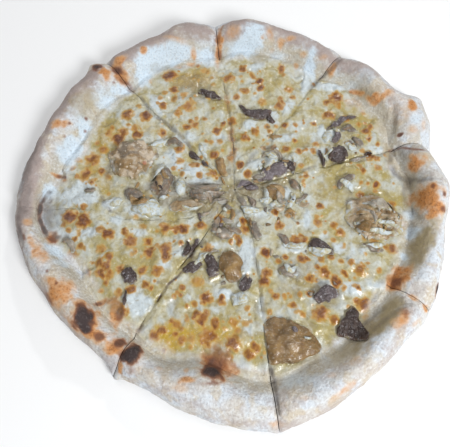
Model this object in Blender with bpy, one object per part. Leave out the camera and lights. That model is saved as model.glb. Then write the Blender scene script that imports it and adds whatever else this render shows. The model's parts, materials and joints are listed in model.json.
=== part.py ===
"""Truffle mushroom pizza, cut into eight slices that still lie together as one round.

Each slice is a wedge of baked dough with a raised, uneven rim, and a layer of melted cheese
that runs through to its cuts. Mushroom slices, dark truffle shavings and puffed cheese
patches lie on the cheese, and finely chopped mushroom is fused to it round the middle.

The frame is in metres with +Z up. The origin is under the middle of the round, on the face
that it rests on. All named sizes below are millimetres, and angles are degrees measured
counter-clockwise from +X.
"""

import math
import random

import bmesh
import bpy
from mathutils import Euler, Matrix, Vector, noise
from mathutils.bvhtree import BVHTree

MM = 0.001

# Driving dimensions
CUT_CENTRE = Vector((0.0, 3.0))   # the eight cuts meet here
CUT_LENGTH = 152.0                # a cut from the centre to the rim's outside
KERF = 0.6                        # what the cutting wheel leaves open
TIP_RADIUS = 1.5                  # the slices' points end this far from the cut centre
BASE_HEIGHT = 3.5                 # dough under the cheese
CHEESE_DEPTH = 4.0                # melted cheese in the middle of a slice
CHEESE_EDGE = 1.2                 # melted cheese where it thins out against the rim
CONTACT_GAP = 0.35                # room between a piece and what it lies on
SHOULDER = 6.0                    # the rim rounds down over this length beside a cut
SHOULDER_DROP = 0.12              # and loses this share of its height there
SHOULDER_PULL = 0.5               # and this much of its reach
COLUMN_ANGLE = 2.9                # each column of faces takes this much of the rim
TOPPING_CELL = 5.0                # size of a face on a topping

# A cut runs from the centre to its angle on the rim. It strays sideways, counter-clockwise
# where positive, by these amounts at the four places along it.
STRAY_PLACES = (0.25, 0.5, 0.75, 0.9)
CUTS = (
    (15.0, (3.3, 5.4, 8.2, 7.8)),
    (56.5, (5.5, 3.5, 4.0, 2.0)),
    (99.3, (-3.0, -2.0, -0.5, 0.0)),
    (136.6, (1.0, 0.5, 0.0, 0.0)),
    (189.0, (18.0, 16.0, 2.5, 0.8)),
    (242.0, (0.0, -2.9, -3.4, -1.5)),
    (282.6, (6.2, 4.0, 1.6, 0.6)),
    (329.2, (4.1, 1.5, 0.5, 0.3)),
)
SLICES = len(CUTS)

# The rim of each slice at its first cut and at each quarter of the way to its next cut:
# how far it reaches from the cut centre, how wide it is and how high its crown stands.
RIM = (
    ((153.0, 161.5, 153.7, 153.0), (33.0, 37.0, 31.0, 28.0), (17.0, 22.0, 21.0, 20.0)),
    ((150.0, 149.2, 150.3, 153.9), (31.0, 27.0, 29.0, 33.0), (16.0, 18.0, 20.0, 22.0)),
    ((151.6, 154.0, 151.8, 151.6), (34.0, 36.0, 31.0, 32.0), (17.0, 21.0, 20.0, 19.0)),
    ((152.0, 155.3, 154.7, 157.6), (34.0, 32.0, 34.0, 28.0), (17.0, 19.0, 18.0, 17.0)),
    ((161.2, 156.6, 152.2, 148.9), (20.0, 23.0, 29.0, 25.0), (15.0, 18.0, 20.0, 19.0)),
    ((150.4, 151.4, 155.9, 161.0), (27.0, 24.0, 34.0, 35.0), (18.0, 20.0, 22.0, 21.0)),
    ((164.9, 162.4, 158.0, 156.0), (32.0, 32.0, 27.0, 29.0), (17.0, 20.0, 21.0, 20.0)),
    ((159.0, 155.5, 152.5, 155.3), (33.0, 30.0, 26.0, 29.0), (17.0, 20.0, 20.0, 22.0)),
)

# Section of the rim, from the cheese over the crown and round the outside to the underside:
# distance in from the outside as a share of the width, and share of the crown's height.
RIM_SECTION = (
    (1.00, 0.00),
    (0.86, 0.36),
    (0.71, 0.70),
    (0.55, 0.93),
    (0.40, 1.00),
    (0.25, 0.93),
    (0.10, 0.70),
    (0.03, 0.52),
    (0.00, 0.36),
    (0.03, 0.16),
    (0.10, 0.00),
)
CROWN_ROW = 4                     # the row of the section that is the crown
ROW_OVER_LAST = 6                 # the row that stands straight over the last one
SECTION_CORE = (0.45, 0.35)       # the middle of the section, which bumps stand away from
OUTSIDE_CLEAR = 0.6               # the outside curves in no lower than this
BASE_ROWS = (0.08, 0.2, 0.4, 0.6, 0.8)  # rows of points across the base, shares of its length
WAVE = ((27.0, 1.2), (11.0, 0.5))  # wavelength and height of the rim's unevenness

# Bubbles of the rim: where the middle of each is, its size and how far it swells.
BUBBLES = (
    ((-117.0, 101.0, 10.0), 8.0, 6.5),
    ((138.0, 88.0, 12.0), 9.0, 8.5),
    ((139.0, 5.0, 20.0), 13.0, 4.5),
    ((133.0, 33.0, 16.0), 11.0, 2.5),
    ((115.0, -58.0, 12.0), 9.0, 3.0),
    ((-97.0, -95.0, 18.0), 9.0, 3.0),
    ((-61.0, -117.0, 16.0), 8.0, 3.0),
    ((-8.0, -124.0, 16.0), 11.0, 4.0),
    ((-98.0, 106.0, 14.0), 10.0, 2.5),
    ((-50.0, 148.0, 10.0), 14.0, 2.0),
    ((-138.0, 51.0, 15.0), 10.0, 2.0),
    ((-112.0, -77.0, 17.0), 12.0, 2.5),
    ((-70.0, -130.0, 5.0), 5.0, 5.0),
    ((36.0, -159.0, 6.0), 6.0, 3.0),
)

# The cheese climbs this share of the rim's lowest slope at each quarter of a slice, or
# where negative stops that many millimetres short of the rim.
CHEESE_CLIMB = (
    (0.50, 0.70, 0.60, 0.50),
    (0.60, 0.50, 0.60, 0.70),
    (0.40, 0.50, 0.70, 0.60),
    (0.50, 0.60, 0.50, 0.10),
    (-6.0, -5.0, 0.30, 0.60),
    (0.50, 0.60, 0.70, 0.60),
    (0.60, 0.50, 0.60, 0.50),
    (0.60, 0.50, 0.40, 0.50),
)
CLIMB_WAVE = ((6.0, 0.1),)        # its edge wanders by this share
CLIMB_RANGE = (0.08, 0.85)
CHEESE_ROWS = (0.08, 0.2, 0.32, 0.44, 0.56, 0.68, 0.79, 0.9)  # as BASE_ROWS, for the cheese
CHEESE_WAVE = ((24.0, 1.1), (12.0, 0.6))
EDGE_STEP = 3.0                   # the cheese thins out over this length
EDGE_THINNING = 0.75              # to this share of its depth where that length starts

# Finely chopped mushroom: an oval round the middle, filled evenly with small bits.
CHOPPED_CENTRE = Vector((6.0, -10.0))
CHOPPED_RADII = Vector((47.0, 27.0))
CHOPPED_COUNT = 92
CHOPPED_SIZE = Vector((3.0, 2.4, 1.8))  # half of its length, width and thickness
CHOPPED_SPREAD = 0.25             # bits are larger or smaller by this share
CHOPPED_TILT = 0.4                # in radians
CHOPPED_CLEAR = 3.9               # room between the middle of a bit and a cut or a topping
CHOPPED_RISE = 0.3                # the middle of a bit lies this far over the cheese
GOLDEN_TURN = math.pi * (3.0 - math.sqrt(5.0))

# Colour, roughness
MATERIALS = {
    "baked_dough": ((0.74, 0.66, 0.57), 0.85),
    "melted_cheese": ((0.66, 0.60, 0.36), 0.35),
    "mushroom_tan": ((0.33, 0.23, 0.12), 0.45),
    "mushroom_grey": ((0.24, 0.21, 0.16), 0.45),
    "truffle": ((0.060, 0.042, 0.046), 0.40),
    "cheese_puff": ((0.80, 0.78, 0.66), 0.40),
}

# Toppings: name, slice, material, three places along the middle, the widths there, the
# thickness at the edge, the extra height in the middle, and the piece it lies on, if any.
TOPPINGS = (
    ("puffed_mushroom_4", 4, "mushroom_tan", ((-94, 18), (-77, 24), (-59, 24)),
     (20, 33, 17), 1.6, 4.5, None),
    ("folded_mushroom_4a", 4, "mushroom_grey", ((-55, 17), (-53, 6), (-58, -4)),
     (9, 14, 10), 2.2, 2.0, None),
    ("folded_mushroom_4b", 4, "mushroom_grey", ((-80, -7), (-74, -5), (-68, -6)),
     (5, 9, 6), 2.0, 1.2, None),
    ("pale_mushroom_4", 4, "cheese_puff", ((-40, 9), (-40, 2), (-39, -4)),
     (5, 8, 6), 2.0, 1.5, None),
    ("long_mushroom_4", 4, "mushroom_grey", ((-33, -3), (-23, 1), (-12, 3)),
     (5, 7, 4), 2.0, 1.0, None),
    ("curled_mushroom_4", 4, "mushroom_tan", ((-46, -13), (-35, -12), (-24, -10)),
     (6, 9, 5), 2.0, 1.6, None),
    ("cheese_puff_4", 4, "cheese_puff", ((-73, -16), (-62, -15), (-51, -17)),
     (6, 12, 7), 1.4, 3.0, None),
    ("small_mushroom_4", 4, "mushroom_grey", ((-54, 38), (-48, 40), (-42, 36)),
     (4, 6, 3), 1.6, 1.0, None),
    ("leaning_mushroom_3", 3, "mushroom_tan", ((-13, 27), (-11, 20), (-7, 14)),
     (5, 8, 4), 1.8, 1.2, None),
    ("truffle_3", 3, "truffle", ((-33, 84), (-25, 84), (-17, 80)),
     (3, 6, 5), 1.4, 0.8, None),
    ("truffle_2", 2, "truffle", ((1, 74), (11, 68), (23, 69)),
     (4, 7, 7), 1.4, 1.0, None),
    ("truffle_1a", 1, "truffle", ((17, 14), (29, 21), (41, 24)),
     (6, 11, 8), 1.6, 1.4, None),
    ("truffle_1b", 1, "truffle", ((69, 58), (79, 65), (89, 70)),
     (3, 5, 3), 1.4, 0.8, None),
    ("truffle_1c", 1, "truffle", ((71, 34), (77, 36), (83, 35)),
     (8, 12, 7), 1.6, 1.6, None),
    ("truffle_1d", 1, "truffle", ((62, 39), (63.5, 33), (66, 28)),
     (3, 4, 4), 1.6, 0.8, None),
    ("truffle_1e", 1, "truffle", ((75, 56), (76, 51), (74, 46)),
     (4, 5, 3), 1.4, 0.8, None),
    ("mushroom_1a", 1, "mushroom_grey", ((80, 57), (85, 59), (91, 58)),
     (3, 5, 3), 1.6, 0.8, None),
    ("mushroom_1b", 1, "mushroom_grey", ((88, 52), (91, 48), (94, 44)),
     (3, 4, 3), 1.6, 0.6, None),
    ("mushroom_1c", 1, "mushroom_grey", ((20, 31), (26, 35), (33, 30)),
     (3, 5, 4), 1.8, 0.8, None),
    ("truffle_8a", 8, "truffle", ((7, 3), (12, 4.5), (17, 5)),
     (3, 5, 4), 1.4, 0.8, None),
    ("mushroom_8a", 8, "mushroom_tan", ((24, -2), (29, 2), (35, 1)),
     (9, 13, 8), 2.0, 1.4, None),
    ("mushroom_8b", 8, "mushroom_grey", ((40, 14), (44, 10), (46, 6)),
     (3, 5, 4), 1.6, 0.8, None),
    ("pale_mushroom_8", 8, "cheese_puff", ((41.5, 3), (42, -3), (39, -9)),
     (3, 4, 4), 1.8, 1.2, None),
    ("mushroom_mound_8", 8, "mushroom_tan", ((83, -9), (101, -13), (119, -17)),
     (24, 33, 20), 1.6, 4.0, None),
    ("mound_slice_8a", 8, "mushroom_tan", ((88, -19), (94, -17), (100, -19)),
     (6, 10, 7), 1.6, 1.0, "mushroom_mound_8"),
    ("mound_slice_8b", 8, "mushroom_grey", ((92, -5), (102, -5), (111, -8)),
     (5, 8, 5), 1.6, 0.8, "mushroom_mound_8"),
    ("mound_slice_8c", 8, "mushroom_tan", ((106, -20), (112, -17), (117, -19)),
     (5, 8, 5), 1.6, 0.8, "mushroom_mound_8"),
    ("mushroom_8c", 8, "mushroom_grey", ((77, 8), (80, 15), (88, 19)),
     (3, 5, 4), 1.8, 0.8, None),
    ("truffle_7a", 7, "truffle", ((56, -34), (63, -37), (71, -41)),
     (6, 8, 5), 1.4, 1.4, None),
    ("truffle_7b", 7, "truffle", ((60, -77), (65, -71), (74, -69)),
     (7, 11, 6), 1.6, 1.4, None),
    ("truffle_leaf_7", 7, "truffle", ((84, -79), (83, -89), (82, -99)),
     (6, 15, 22), 1.4, 1.6, None),
    ("broad_mushroom_7", 7, "mushroom_tan", ((27, -104), (44, -103), (61, -106)),
     (29, 27, 10), 2.2, 2.4, None),
    ("mushroom_7a", 7, "mushroom_grey", ((35, -57), (40, -56), (46, -59)),
     (5, 8, 5), 1.6, 1.0, None),
    ("mushroom_7b", 7, "mushroom_grey", ((15, -22), (16, -28), (19, -34)),
     (4, 7, 5), 1.8, 1.0, None),
    ("brown_mushroom_6", 6, "mushroom_tan", ((-2, -45), (0, -54), (3, -65)),
     (11, 17, 9), 2.2, 2.0, None),
    ("truffle_6a", 6, "truffle", ((-16, -49), (-14, -55), (-10, -62)),
     (6, 8, 6), 1.6, 1.2, None),
    ("truffle_6b", 6, "truffle", ((7, -70), (11, -67), (14, -63)),
     (4, 8, 4), 1.4, 1.0, None),
    ("cheese_puff_6", 6, "cheese_puff", ((2, -79), (8, -77), (14, -78)),
     (6, 10, 6), 1.4, 2.2, None),
    ("truffle_6c", 6, "truffle", ((-32, -60), (-27, -57), (-21, -54)),
     (4, 6, 4), 1.4, 0.8, None),
    ("mushroom_6", 6, "mushroom_grey", ((-14, -28), (-8, -31), (0, -32)),
     (6, 9, 6), 1.8, 1.2, None),
    ("truffle_5a", 5, "truffle", ((-31, -39), (-31, -44), (-34, -49)),
     (3, 4, 3), 1.4, 0.8, None),
    ("truffle_5b", 5, "truffle", ((-75, -65), (-70, -65), (-66, -70)),
     (6, 9, 6), 1.6, 1.4, None),
    ("mushroom_5", 5, "mushroom_grey", ((-122, -41), (-116, -43), (-112, -50)),
     (3, 5, 4), 1.8, 1.0, None),
)

# Shape of a topping
BLUNT_END = 0.28                  # its width is drawn in by this share at the ends
END_BOW = 0.06                    # its ends bow out by this share of its length
OUTLINE_WAVE = (7.0, 1.0)         # wavelength and size of its outline's unevenness
OUTLINE_LAYERS = (Vector((0.0, 0.0, 11.3)), Vector((0.0, 0.0, 29.7)))  # its x, its y
TOP_WAVE = (5.0, 0.25)            # the same for its top, as a share of its thickness
EDGE_SHARE = 0.7                  # its outermost edge is this share of its thickness
TRIM_REACH = 3.0                  # a cut is straight over twice this length where it trims
SHARP_ANGLE = 50.0                # edges that bend more than this are shaded sharp

# The level under a topping's point is read at the point and this far round it: on the
# cheese, under a chopped bit, and on another topping, whose edge is a step.
CHEESE_REACH = 2.5
BIT_REACH = 0.5
STEP_REACH = 6.5
RAY_START = 60.0                  # over everything
FLAT_TOLERANCE = 1e-4


def smooth_between(before, start, end, after, share):
    """Cubic from start to end whose slopes follow the neighbouring values."""
    slope_start = (end - before) / 2
    slope_end = (after - start) / 2
    square = share * share
    cube = square * share
    return (
        (2 * cube - 3 * square + 1) * start
        + (cube - 2 * square + share) * slope_start
        + (3 * square - 2 * cube) * end
        + (cube - square) * slope_end
    )


def around(table, place):
    """Value of a table of quarter slices at a place, which is slice number + share."""
    values = [value for row in table for value in row]
    position = place * 4
    first = math.floor(position)
    near = [values[(first + step) % len(values)] for step in (-1, 0, 1, 2)]
    return smooth_between(*near, position - first)


def stray(strays, share):
    """Sideways distance of a cut from its straight line, at a share of its length."""
    places = (0.0, *STRAY_PLACES, 1.0)
    values = (0.0, *strays, 0.0)
    last = len(places) - 1
    slopes = [0.0]
    for index in range(1, last):
        run = places[index + 1] - places[index - 1]
        slopes.append((values[index + 1] - values[index - 1]) / run)
    slopes.append((values[last] - values[last - 1]) / (places[last] - places[last - 1]))
    share = min(max(share, 0.0), 1.0)
    index = min(sum(place <= share for place in places) - 1, last - 1)
    run = places[index + 1] - places[index]
    t = (share - places[index]) / run
    return (
        (2 * t ** 3 - 3 * t ** 2 + 1) * values[index]
        + (t ** 3 - 2 * t ** 2 + t) * slopes[index] * run
        + (3 * t ** 2 - 2 * t ** 3) * values[index + 1]
        + (t ** 3 - t ** 2) * slopes[index + 1] * run
    )


def cut_angle(cut, radius):
    """Direction of a cut, in radians, at a distance from the cut centre."""
    angle, strays = CUTS[cut % SLICES]
    sideways = stray(strays, radius / CUT_LENGTH)
    return math.radians(angle + 360 * (cut // SLICES)) + math.asin(sideways / radius)


def slice_point(number, across, radius):
    """Place in plan, a share of the way across a slice, at a distance from the centre."""
    half_kerf = math.asin(KERF / 2 / radius)
    first = cut_angle(number, radius) + half_kerf
    last = cut_angle(number + 1, radius) - half_kerf
    angle = first + across * (last - first)
    return CUT_CENTRE + radius * Vector((math.cos(angle), math.sin(angle)))


def rim_shape(number, across):
    """Reach, width and height of the rim, rounded down beside the cuts."""
    reach, width, height = (
        around([row[kind] for row in RIM], number + across) for kind in range(3)
    )
    span = cut_angle(number + 1, reach) - cut_angle(number, reach)
    to_cut = min(across, 1 - across) * span * reach
    rounding = math.exp(-((to_cut / SHOULDER) ** 2))
    return reach - SHOULDER_PULL * rounding, width, height * (1 - SHOULDER_DROP * rounding)


def waves(point, sizes):
    """Soft unevenness at a point, the same on every run."""
    return sum(height * noise.noise(point / length) for length, height in sizes)


def crust_point(number, across, row):
    """Point of the dough's top: rows across the base, then over the rim to the underside."""
    reach, width, height = rim_shape(number, across)
    foot = reach - width
    if row < 0:
        base_row = row + len(BASE_ROWS) + 1
        radius = TIP_RADIUS if base_row == 0 else BASE_ROWS[base_row - 1] * foot
        return Vector((*slice_point(number, across, radius), BASE_HEIGHT))
    inward, rise = RIM_SECTION[row]
    plan = slice_point(number, across, reach - inward * width)
    underside = row == len(RIM_SECTION) - 1
    level = rise * height
    if row < CROWN_ROW:
        level = max(level, BASE_HEIGHT)
    point = Vector((*plan, level))
    if row == 0 or underside:
        return point
    core_in, core_up = SECTION_CORE
    core = Vector((*slice_point(number, across, reach - core_in * width), core_up * height))
    swell = waves(point, WAVE)
    for centre, size, push in BUBBLES:
        swell += push * math.exp(-(((point - Vector(centre)).length / size) ** 2))
    away = (point - core).normalized()
    # beside the cuts the section stays in the plane of the cut
    moved = point + swell * away
    radius = (moved.xy - CUT_CENTRE).length
    return Vector((*slice_point(number, across, radius), max(moved.z, OUTSIDE_CLEAR)))


def columns_of(number):
    """Columns of faces across a slice."""
    return round((CUTS[(number + 1) % SLICES][0] - CUTS[number][0]) % 360 / COLUMN_ANGLE)


def lattice(shape, columns, rows, place):
    """Grid of faces whose points go where place(across, row) says; the points by row."""
    grid = bmesh.ops.create_grid(shape, x_segments=columns, y_segments=rows, size=1.0)
    by_row = [[None] * (columns + 1) for _ in range(rows + 1)]
    for vert in grid["verts"]:
        column = round((vert.co.x + 1) / 2 * columns)
        row = round((vert.co.y + 1) / 2 * rows)
        by_row[row][column] = vert
    for row, verts in enumerate(by_row):
        for column, vert in enumerate(verts):
            vert.co = place(column / columns, row) * MM
    return by_row


def edges_along(verts):
    """The edges between each point of a chain and the next."""
    edges = []
    for vert, other in zip(verts, verts[1:]):
        edges.append(next(edge for edge in vert.link_edges if other in edge.verts))
    return edges


def finished_object(shape, name, material):
    """Closed shape as a named, smooth shaded object with its material."""
    bmesh.ops.recalc_face_normals(shape, faces=shape.faces)
    mesh = bpy.data.meshes.new(name)
    shape.to_mesh(mesh)
    shape.free()
    mesh.shade_smooth()
    mesh.set_sharp_from_angle(angle=math.radians(SHARP_ANGLE))
    mesh.materials.append(material)
    obj = bpy.data.objects.new(name, mesh)
    bpy.context.scene.collection.objects.link(obj)
    return obj


def make_material(name):
    """Principled material with the part's plain colour."""
    colour, roughness = MATERIALS[name]
    material = bpy.data.materials.new(name)
    material.use_nodes = True
    shader = material.node_tree.nodes["Principled BSDF"]
    shader.inputs["Base Color"].default_value = (*colour, 1.0)
    shader.inputs["Roughness"].default_value = roughness
    material.diffuse_color = (*colour, 1.0)
    return material


def merge_flat(shape, level):
    """One face in place of the many that lie flat at a level."""
    flat = [
        face for face in shape.faces
        if all(abs(vert.co.z / MM - level) < FLAT_TOLERANCE for vert in face.verts)
    ]
    bmesh.ops.dissolve_faces(shape, faces=flat, use_verts=True)


def close_openings(shape):
    """One face over the open edges of a shape, where it has any."""
    open_edges = [edge for edge in shape.edges if edge.is_boundary]
    if open_edges:
        bmesh.ops.contextual_create(shape, geom=open_edges)


def make_crust(number, material):
    """Wedge of dough: flat base, raised rim, cut walls and flat underside."""
    shape = bmesh.new()
    columns = columns_of(number)
    base_rows = len(BASE_ROWS) + 1
    rows = base_rows + len(RIM_SECTION) - 1
    by_row = lattice(
        shape, columns, rows, lambda across, row: crust_point(number, across, row - base_rows)
    )
    tip_place = Vector((*slice_point(number, 0.5, TIP_RADIUS), BASE_HEIGHT)) * MM
    bmesh.ops.pointmerge(shape, verts=by_row[0], merge_co=tip_place)
    tip = next(vert for vert in by_row[0] if vert.is_valid)
    row_over_last = base_rows + ROW_OVER_LAST
    chains = [
        [tip] + [by_row[row][column] for row in range(1, row_over_last + 1)]
        for column in (0, columns)
    ]
    sides = [edge for chain in chains for edge in edges_along(chain)]
    walls = bmesh.ops.extrude_edge_only(shape, edges=sides)
    feet = [item for item in walls["geom"] if isinstance(item, bmesh.types.BMVert)]
    for vert in feet:
        vert.co.z = 0.0
    for column, chain in zip((0, columns), chains):
        corner = by_row[rows][column]
        foot = min(feet, key=lambda vert: (vert.co - corner.co).length)
        feet.remove(foot)
        bmesh.ops.pointmerge(shape, verts=[corner, foot], merge_co=corner.co.copy())
        end = corner if corner.is_valid else foot
        outer = [by_row[row][column] for row in range(row_over_last, rows)] + [end]
        ring = edges_along(outer) + edges_along([end, chain[-1]])
        bmesh.ops.contextual_create(shape, geom=ring)
    close_openings(shape)
    merge_flat(shape, BASE_HEIGHT)
    return finished_object(shape, f"crust_{number + 1}", material)


def cheese_outline(number, across):
    """Foot of the rim and the point where the cheese ends, at the level it lies on."""
    reach, width, _ = rim_shape(number, across)
    foot = reach - width
    climb = around(CHEESE_CLIMB, number + across)
    if climb <= 0:
        return foot + climb, None
    low = crust_point(number, across, 0)
    high = crust_point(number, across, 1)
    least, most = CLIMB_RANGE
    return foot, low.lerp(high, min(max(climb + waves(low, CLIMB_WAVE), least), most))


def cheese_points(number, across, row):
    """Top and bottom point of the cheese at a row, the last of which is its edge."""
    foot, edge = cheese_outline(number, across)
    last = len(CHEESE_ROWS) + 1
    bottom = BASE_HEIGHT + CONTACT_GAP
    if row == last:
        low = Vector((*slice_point(number, across, foot), bottom))
        if edge is not None:
            low = edge + Vector((0.0, 0.0, CONTACT_GAP))
        return low + Vector((0.0, 0.0, CHEESE_EDGE)), low
    shares = (0.0, *CHEESE_ROWS, 1.0)
    plan = slice_point(number, across, max(shares[row] * (foot - EDGE_STEP), TIP_RADIUS))
    depth = CHEESE_DEPTH * (EDGE_THINNING if row == last - 1 else 1.0)
    depth += waves(Vector((*plan, 0.0)), CHEESE_WAVE)
    return Vector((*plan, bottom + depth)), Vector((*plan, bottom))


def raise_copy(shape):
    """Extrude a sheet; the new sheet's points by the place of the point that each is over."""
    upper = bmesh.ops.extrude_face_region(shape, geom=list(shape.faces))
    return {
        tuple(item.co): item for item in upper["geom"] if isinstance(item, bmesh.types.BMVert)
    }


def make_cheese(number, material):
    """Layer of melted cheese with an uneven top, over one slice up to the rim."""
    shape = bmesh.new()
    columns = columns_of(number)
    rows = len(CHEESE_ROWS) + 1
    by_row = lattice(
        shape, columns, rows, lambda across, row: cheese_points(number, across, row)[1]
    )
    partners = raise_copy(shape)
    for row, verts in enumerate(by_row):
        for column, vert in enumerate(verts):
            top = cheese_points(number, column / columns, row)[0]
            partners[tuple(vert.co)].co = top * MM
    tip_tops = [partners[tuple(vert.co)] for vert in by_row[0]]
    for verts, level in zip((tip_tops, by_row[0]), cheese_points(number, 0.5, 0)):
        bmesh.ops.pointmerge(shape, verts=verts, merge_co=level * MM)
    merge_flat(shape, BASE_HEIGHT + CONTACT_GAP)
    return finished_object(shape, f"cheese_{number + 1}", material)


def surface_of(objects):
    """Tree of the faces of some objects, for finding heights."""
    shape = bmesh.new()
    for obj in objects:
        shape.from_mesh(obj.data)
    tree = BVHTree.FromBMesh(shape)
    shape.free()
    return tree


def height_on(tree, plan, reach):
    """Greatest height of a surface at a place and in a ring round it."""
    spots = [plan]
    for step in range(8):
        turn = math.radians(45 * step)
        spots.append(plan + reach * Vector((math.cos(turn), math.sin(turn))))
    heights = []
    for spot in spots:
        start = Vector((*spot, RAY_START)) * MM
        hit = tree.ray_cast(start, Vector((0.0, 0.0, -1.0)))[0]
        if hit is not None:
            heights.append(hit.z / MM)
    return max(heights) if heights else None


def spine_point(spine, share):
    """Place and heading on the curve through three places."""
    start, middle, end = (Vector(place) for place in spine)
    control = 2 * middle - (start + end) / 2
    place = (1 - share) ** 2 * start + 2 * share * (1 - share) * control + share ** 2 * end
    heading = (1 - share) * (control - start) + share * (end - control)
    return place, heading.normalized()


def spine_length(spine):
    """Length of the curve through three places."""
    places = [spine_point(spine, step / 12)[0] for step in range(13)]
    return sum((b - a).length for a, b in zip(places, places[1:]))


def topping_width(widths, share):
    """Width of a topping along its middle, drawn in to blunt ends."""
    first, middle, last = widths
    control = 2 * middle - (first + last) / 2
    width = (1 - share) ** 2 * first + 2 * share * (1 - share) * control + share ** 2 * last
    return width * (1 - BLUNT_END + BLUNT_END * math.sqrt(math.sin(math.pi * share)))


def trim_to_slice(shape, number, middle):
    """Take off what would reach over a slice's two cuts, and close the piece."""
    radius = (middle - CUT_CENTRE).length
    for across, outward in ((0.0, 1.0), (1.0, -1.0)):
        near = slice_point(number, across, radius - TRIM_REACH)
        far = slice_point(number, across, radius + TRIM_REACH)
        along = (far - near).normalized()
        bmesh.ops.bisect_plane(
            shape,
            geom=[*shape.verts, *shape.edges, *shape.faces],
            plane_co=Vector((*near, 0.0)) * MM,
            plane_no=Vector((along.y, -along.x, 0.0)) * outward,
            dist=FLAT_TOLERANCE * MM,
            clear_outer=True,
        )
        close_openings(shape)


def make_topping(entry, surfaces, materials):
    """Thin piece that follows what it lies on, thicker in its middle than at its edge."""
    name, number, finish, spine, widths, thickness, crown, carrier = entry
    shape = bmesh.new()
    length = spine_length(spine)
    along = max(3, round(length / TOPPING_CELL))
    across = max(2, round(max(widths) / TOPPING_CELL))
    pizza = surfaces["pizza"]

    def place(share_across, row):
        share = row / along
        middle, heading = spine_point(spine, share)
        side = Vector((-heading.y, heading.x))
        offset = (share_across - 0.5) * topping_width(widths, share)
        bow = (1 - (2 * share_across - 1) ** 2) * (2 * share - 1) * END_BOW * length
        plan = middle + side * offset + heading * bow
        wavelength, size = OUTLINE_WAVE
        spot = Vector((*plan, 0.0)) / wavelength
        plan += size * Vector([noise.noise(spot + layer) for layer in OUTLINE_LAYERS])
        level = height_on(pizza, plan, CHEESE_REACH)
        if carrier:
            on_carrier = height_on(surfaces[carrier], plan, STEP_REACH)
            level = max(level, on_carrier) if on_carrier else level
        return Vector((*plan, level + CONTACT_GAP))

    by_row = lattice(shape, across, along, place)
    partners = raise_copy(shape)
    wavelength, size = TOP_WAVE
    for row, verts in enumerate(by_row):
        for column, vert in enumerate(verts):
            dome = math.sin(math.pi * row / along) * math.sin(math.pi * column / across)
            fullness = EDGE_SHARE + (1 - EDGE_SHARE) * math.sqrt(max(dome, 0.0))
            fullness += size * noise.noise(vert.co / MM / wavelength)
            partners[tuple(vert.co)].co.z += (thickness * fullness + crown * dome) * MM
    trim_to_slice(shape, number - 1, Vector(spine[1]))
    return finished_object(shape, name, materials[finish])


def distance_to_topping(plan, entry):
    """Distance in plan from a place to the edge of a topping."""
    spine, widths = entry[3], entry[4]
    nearest = min(
        (spine_point(spine, step / 8)[0] - plan).length for step in range(9)
    )
    return nearest - max(widths) / 2


def chopped_places(number):
    """Places of the chopped bits that lie on one slice, clear of cuts and toppings."""
    places = []
    for index in range(CHOPPED_COUNT):
        out = math.sqrt((index + 0.5) / CHOPPED_COUNT)
        turn = index * GOLDEN_TURN
        plan = CHOPPED_CENTRE + Vector(
            (out * math.cos(turn) * CHOPPED_RADII.x, out * math.sin(turn) * CHOPPED_RADII.y)
        )
        from_centre = plan - CUT_CENTRE
        radius = from_centre.length
        if radius < 2 * TIP_RADIUS:
            continue
        angle = math.atan2(from_centre.y, from_centre.x)
        first = cut_angle(number, radius)
        turned = first + (angle - first) % (2 * math.pi)
        room = min(turned - first, cut_angle(number + 1, radius) - turned) * radius
        if room < CHOPPED_CLEAR:
            continue
        if min(distance_to_topping(plan, entry) for entry in TOPPINGS) >= CHOPPED_CLEAR:
            places.append((index, plan))
    return places


def make_bit(index, middle):
    """One chopped bit, turned and sized by its number."""
    chance = random.Random(index)
    size = CHOPPED_SIZE * (1 + chance.uniform(-CHOPPED_SPREAD, CHOPPED_SPREAD)) * MM
    tilts = [chance.uniform(-CHOPPED_TILT, CHOPPED_TILT) for _ in range(2)]
    turned = Euler((*tilts, chance.uniform(0.0, math.pi))).to_matrix().to_4x4()
    placed = Matrix.Translation(middle * MM) @ turned @ Matrix.Diagonal((*size, 1.0))
    shape = bmesh.new()
    bmesh.ops.create_icosphere(shape, subdivisions=1, radius=1.0, matrix=placed)
    mesh = bpy.data.meshes.new(f"bit_{index}")
    shape.to_mesh(mesh)
    shape.free()
    return bpy.data.objects.new(f"bit_{index}", mesh)


def add_chopped(cheese, number):
    """Fuse the chopped bits of one slice to its cheese."""
    places = chopped_places(number)
    if not places:
        return
    tree = surface_of([cheese])
    bits = bpy.data.collections.new(f"chopped_{number + 1}")
    bpy.context.scene.collection.children.link(bits)
    for index, plan in places:
        level = height_on(tree, plan, BIT_REACH) + CHOPPED_RISE
        bits.objects.link(make_bit(index, Vector((*plan, level))))
    union = cheese.modifiers.new("chopped", "BOOLEAN")
    union.operation = "UNION"
    union.operand_type = "COLLECTION"
    union.collection = bits
    union.solver = "EXACT"
    bpy.context.view_layer.update()
    evaluated = cheese.evaluated_get(bpy.context.evaluated_depsgraph_get())
    fused = bpy.data.meshes.new_from_object(evaluated)
    cheese.modifiers.remove(union)
    cheese.data = fused
    for obj in list(bits.objects):
        bpy.data.objects.remove(obj, do_unlink=True)
    bpy.data.collections.remove(bits)


def main():
    """Build the whole round."""
    for obj in list(bpy.data.objects):
        bpy.data.objects.remove(obj, do_unlink=True)
    materials = {name: make_material(name) for name in MATERIALS}
    layers = []
    for number in range(SLICES):
        crust = make_crust(number, materials["baked_dough"])
        cheese = make_cheese(number, materials["melted_cheese"])
        add_chopped(cheese, number)
        layers += [crust, cheese]
    surfaces = {"pizza": surface_of(layers)}
    carriers = {entry[-1] for entry in TOPPINGS}
    for entry in TOPPINGS:
        piece = make_topping(entry, surfaces, materials)
        if entry[0] in carriers:
            surfaces[entry[0]] = surface_of([piece])


if __name__ == "__main__":
    main()
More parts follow.
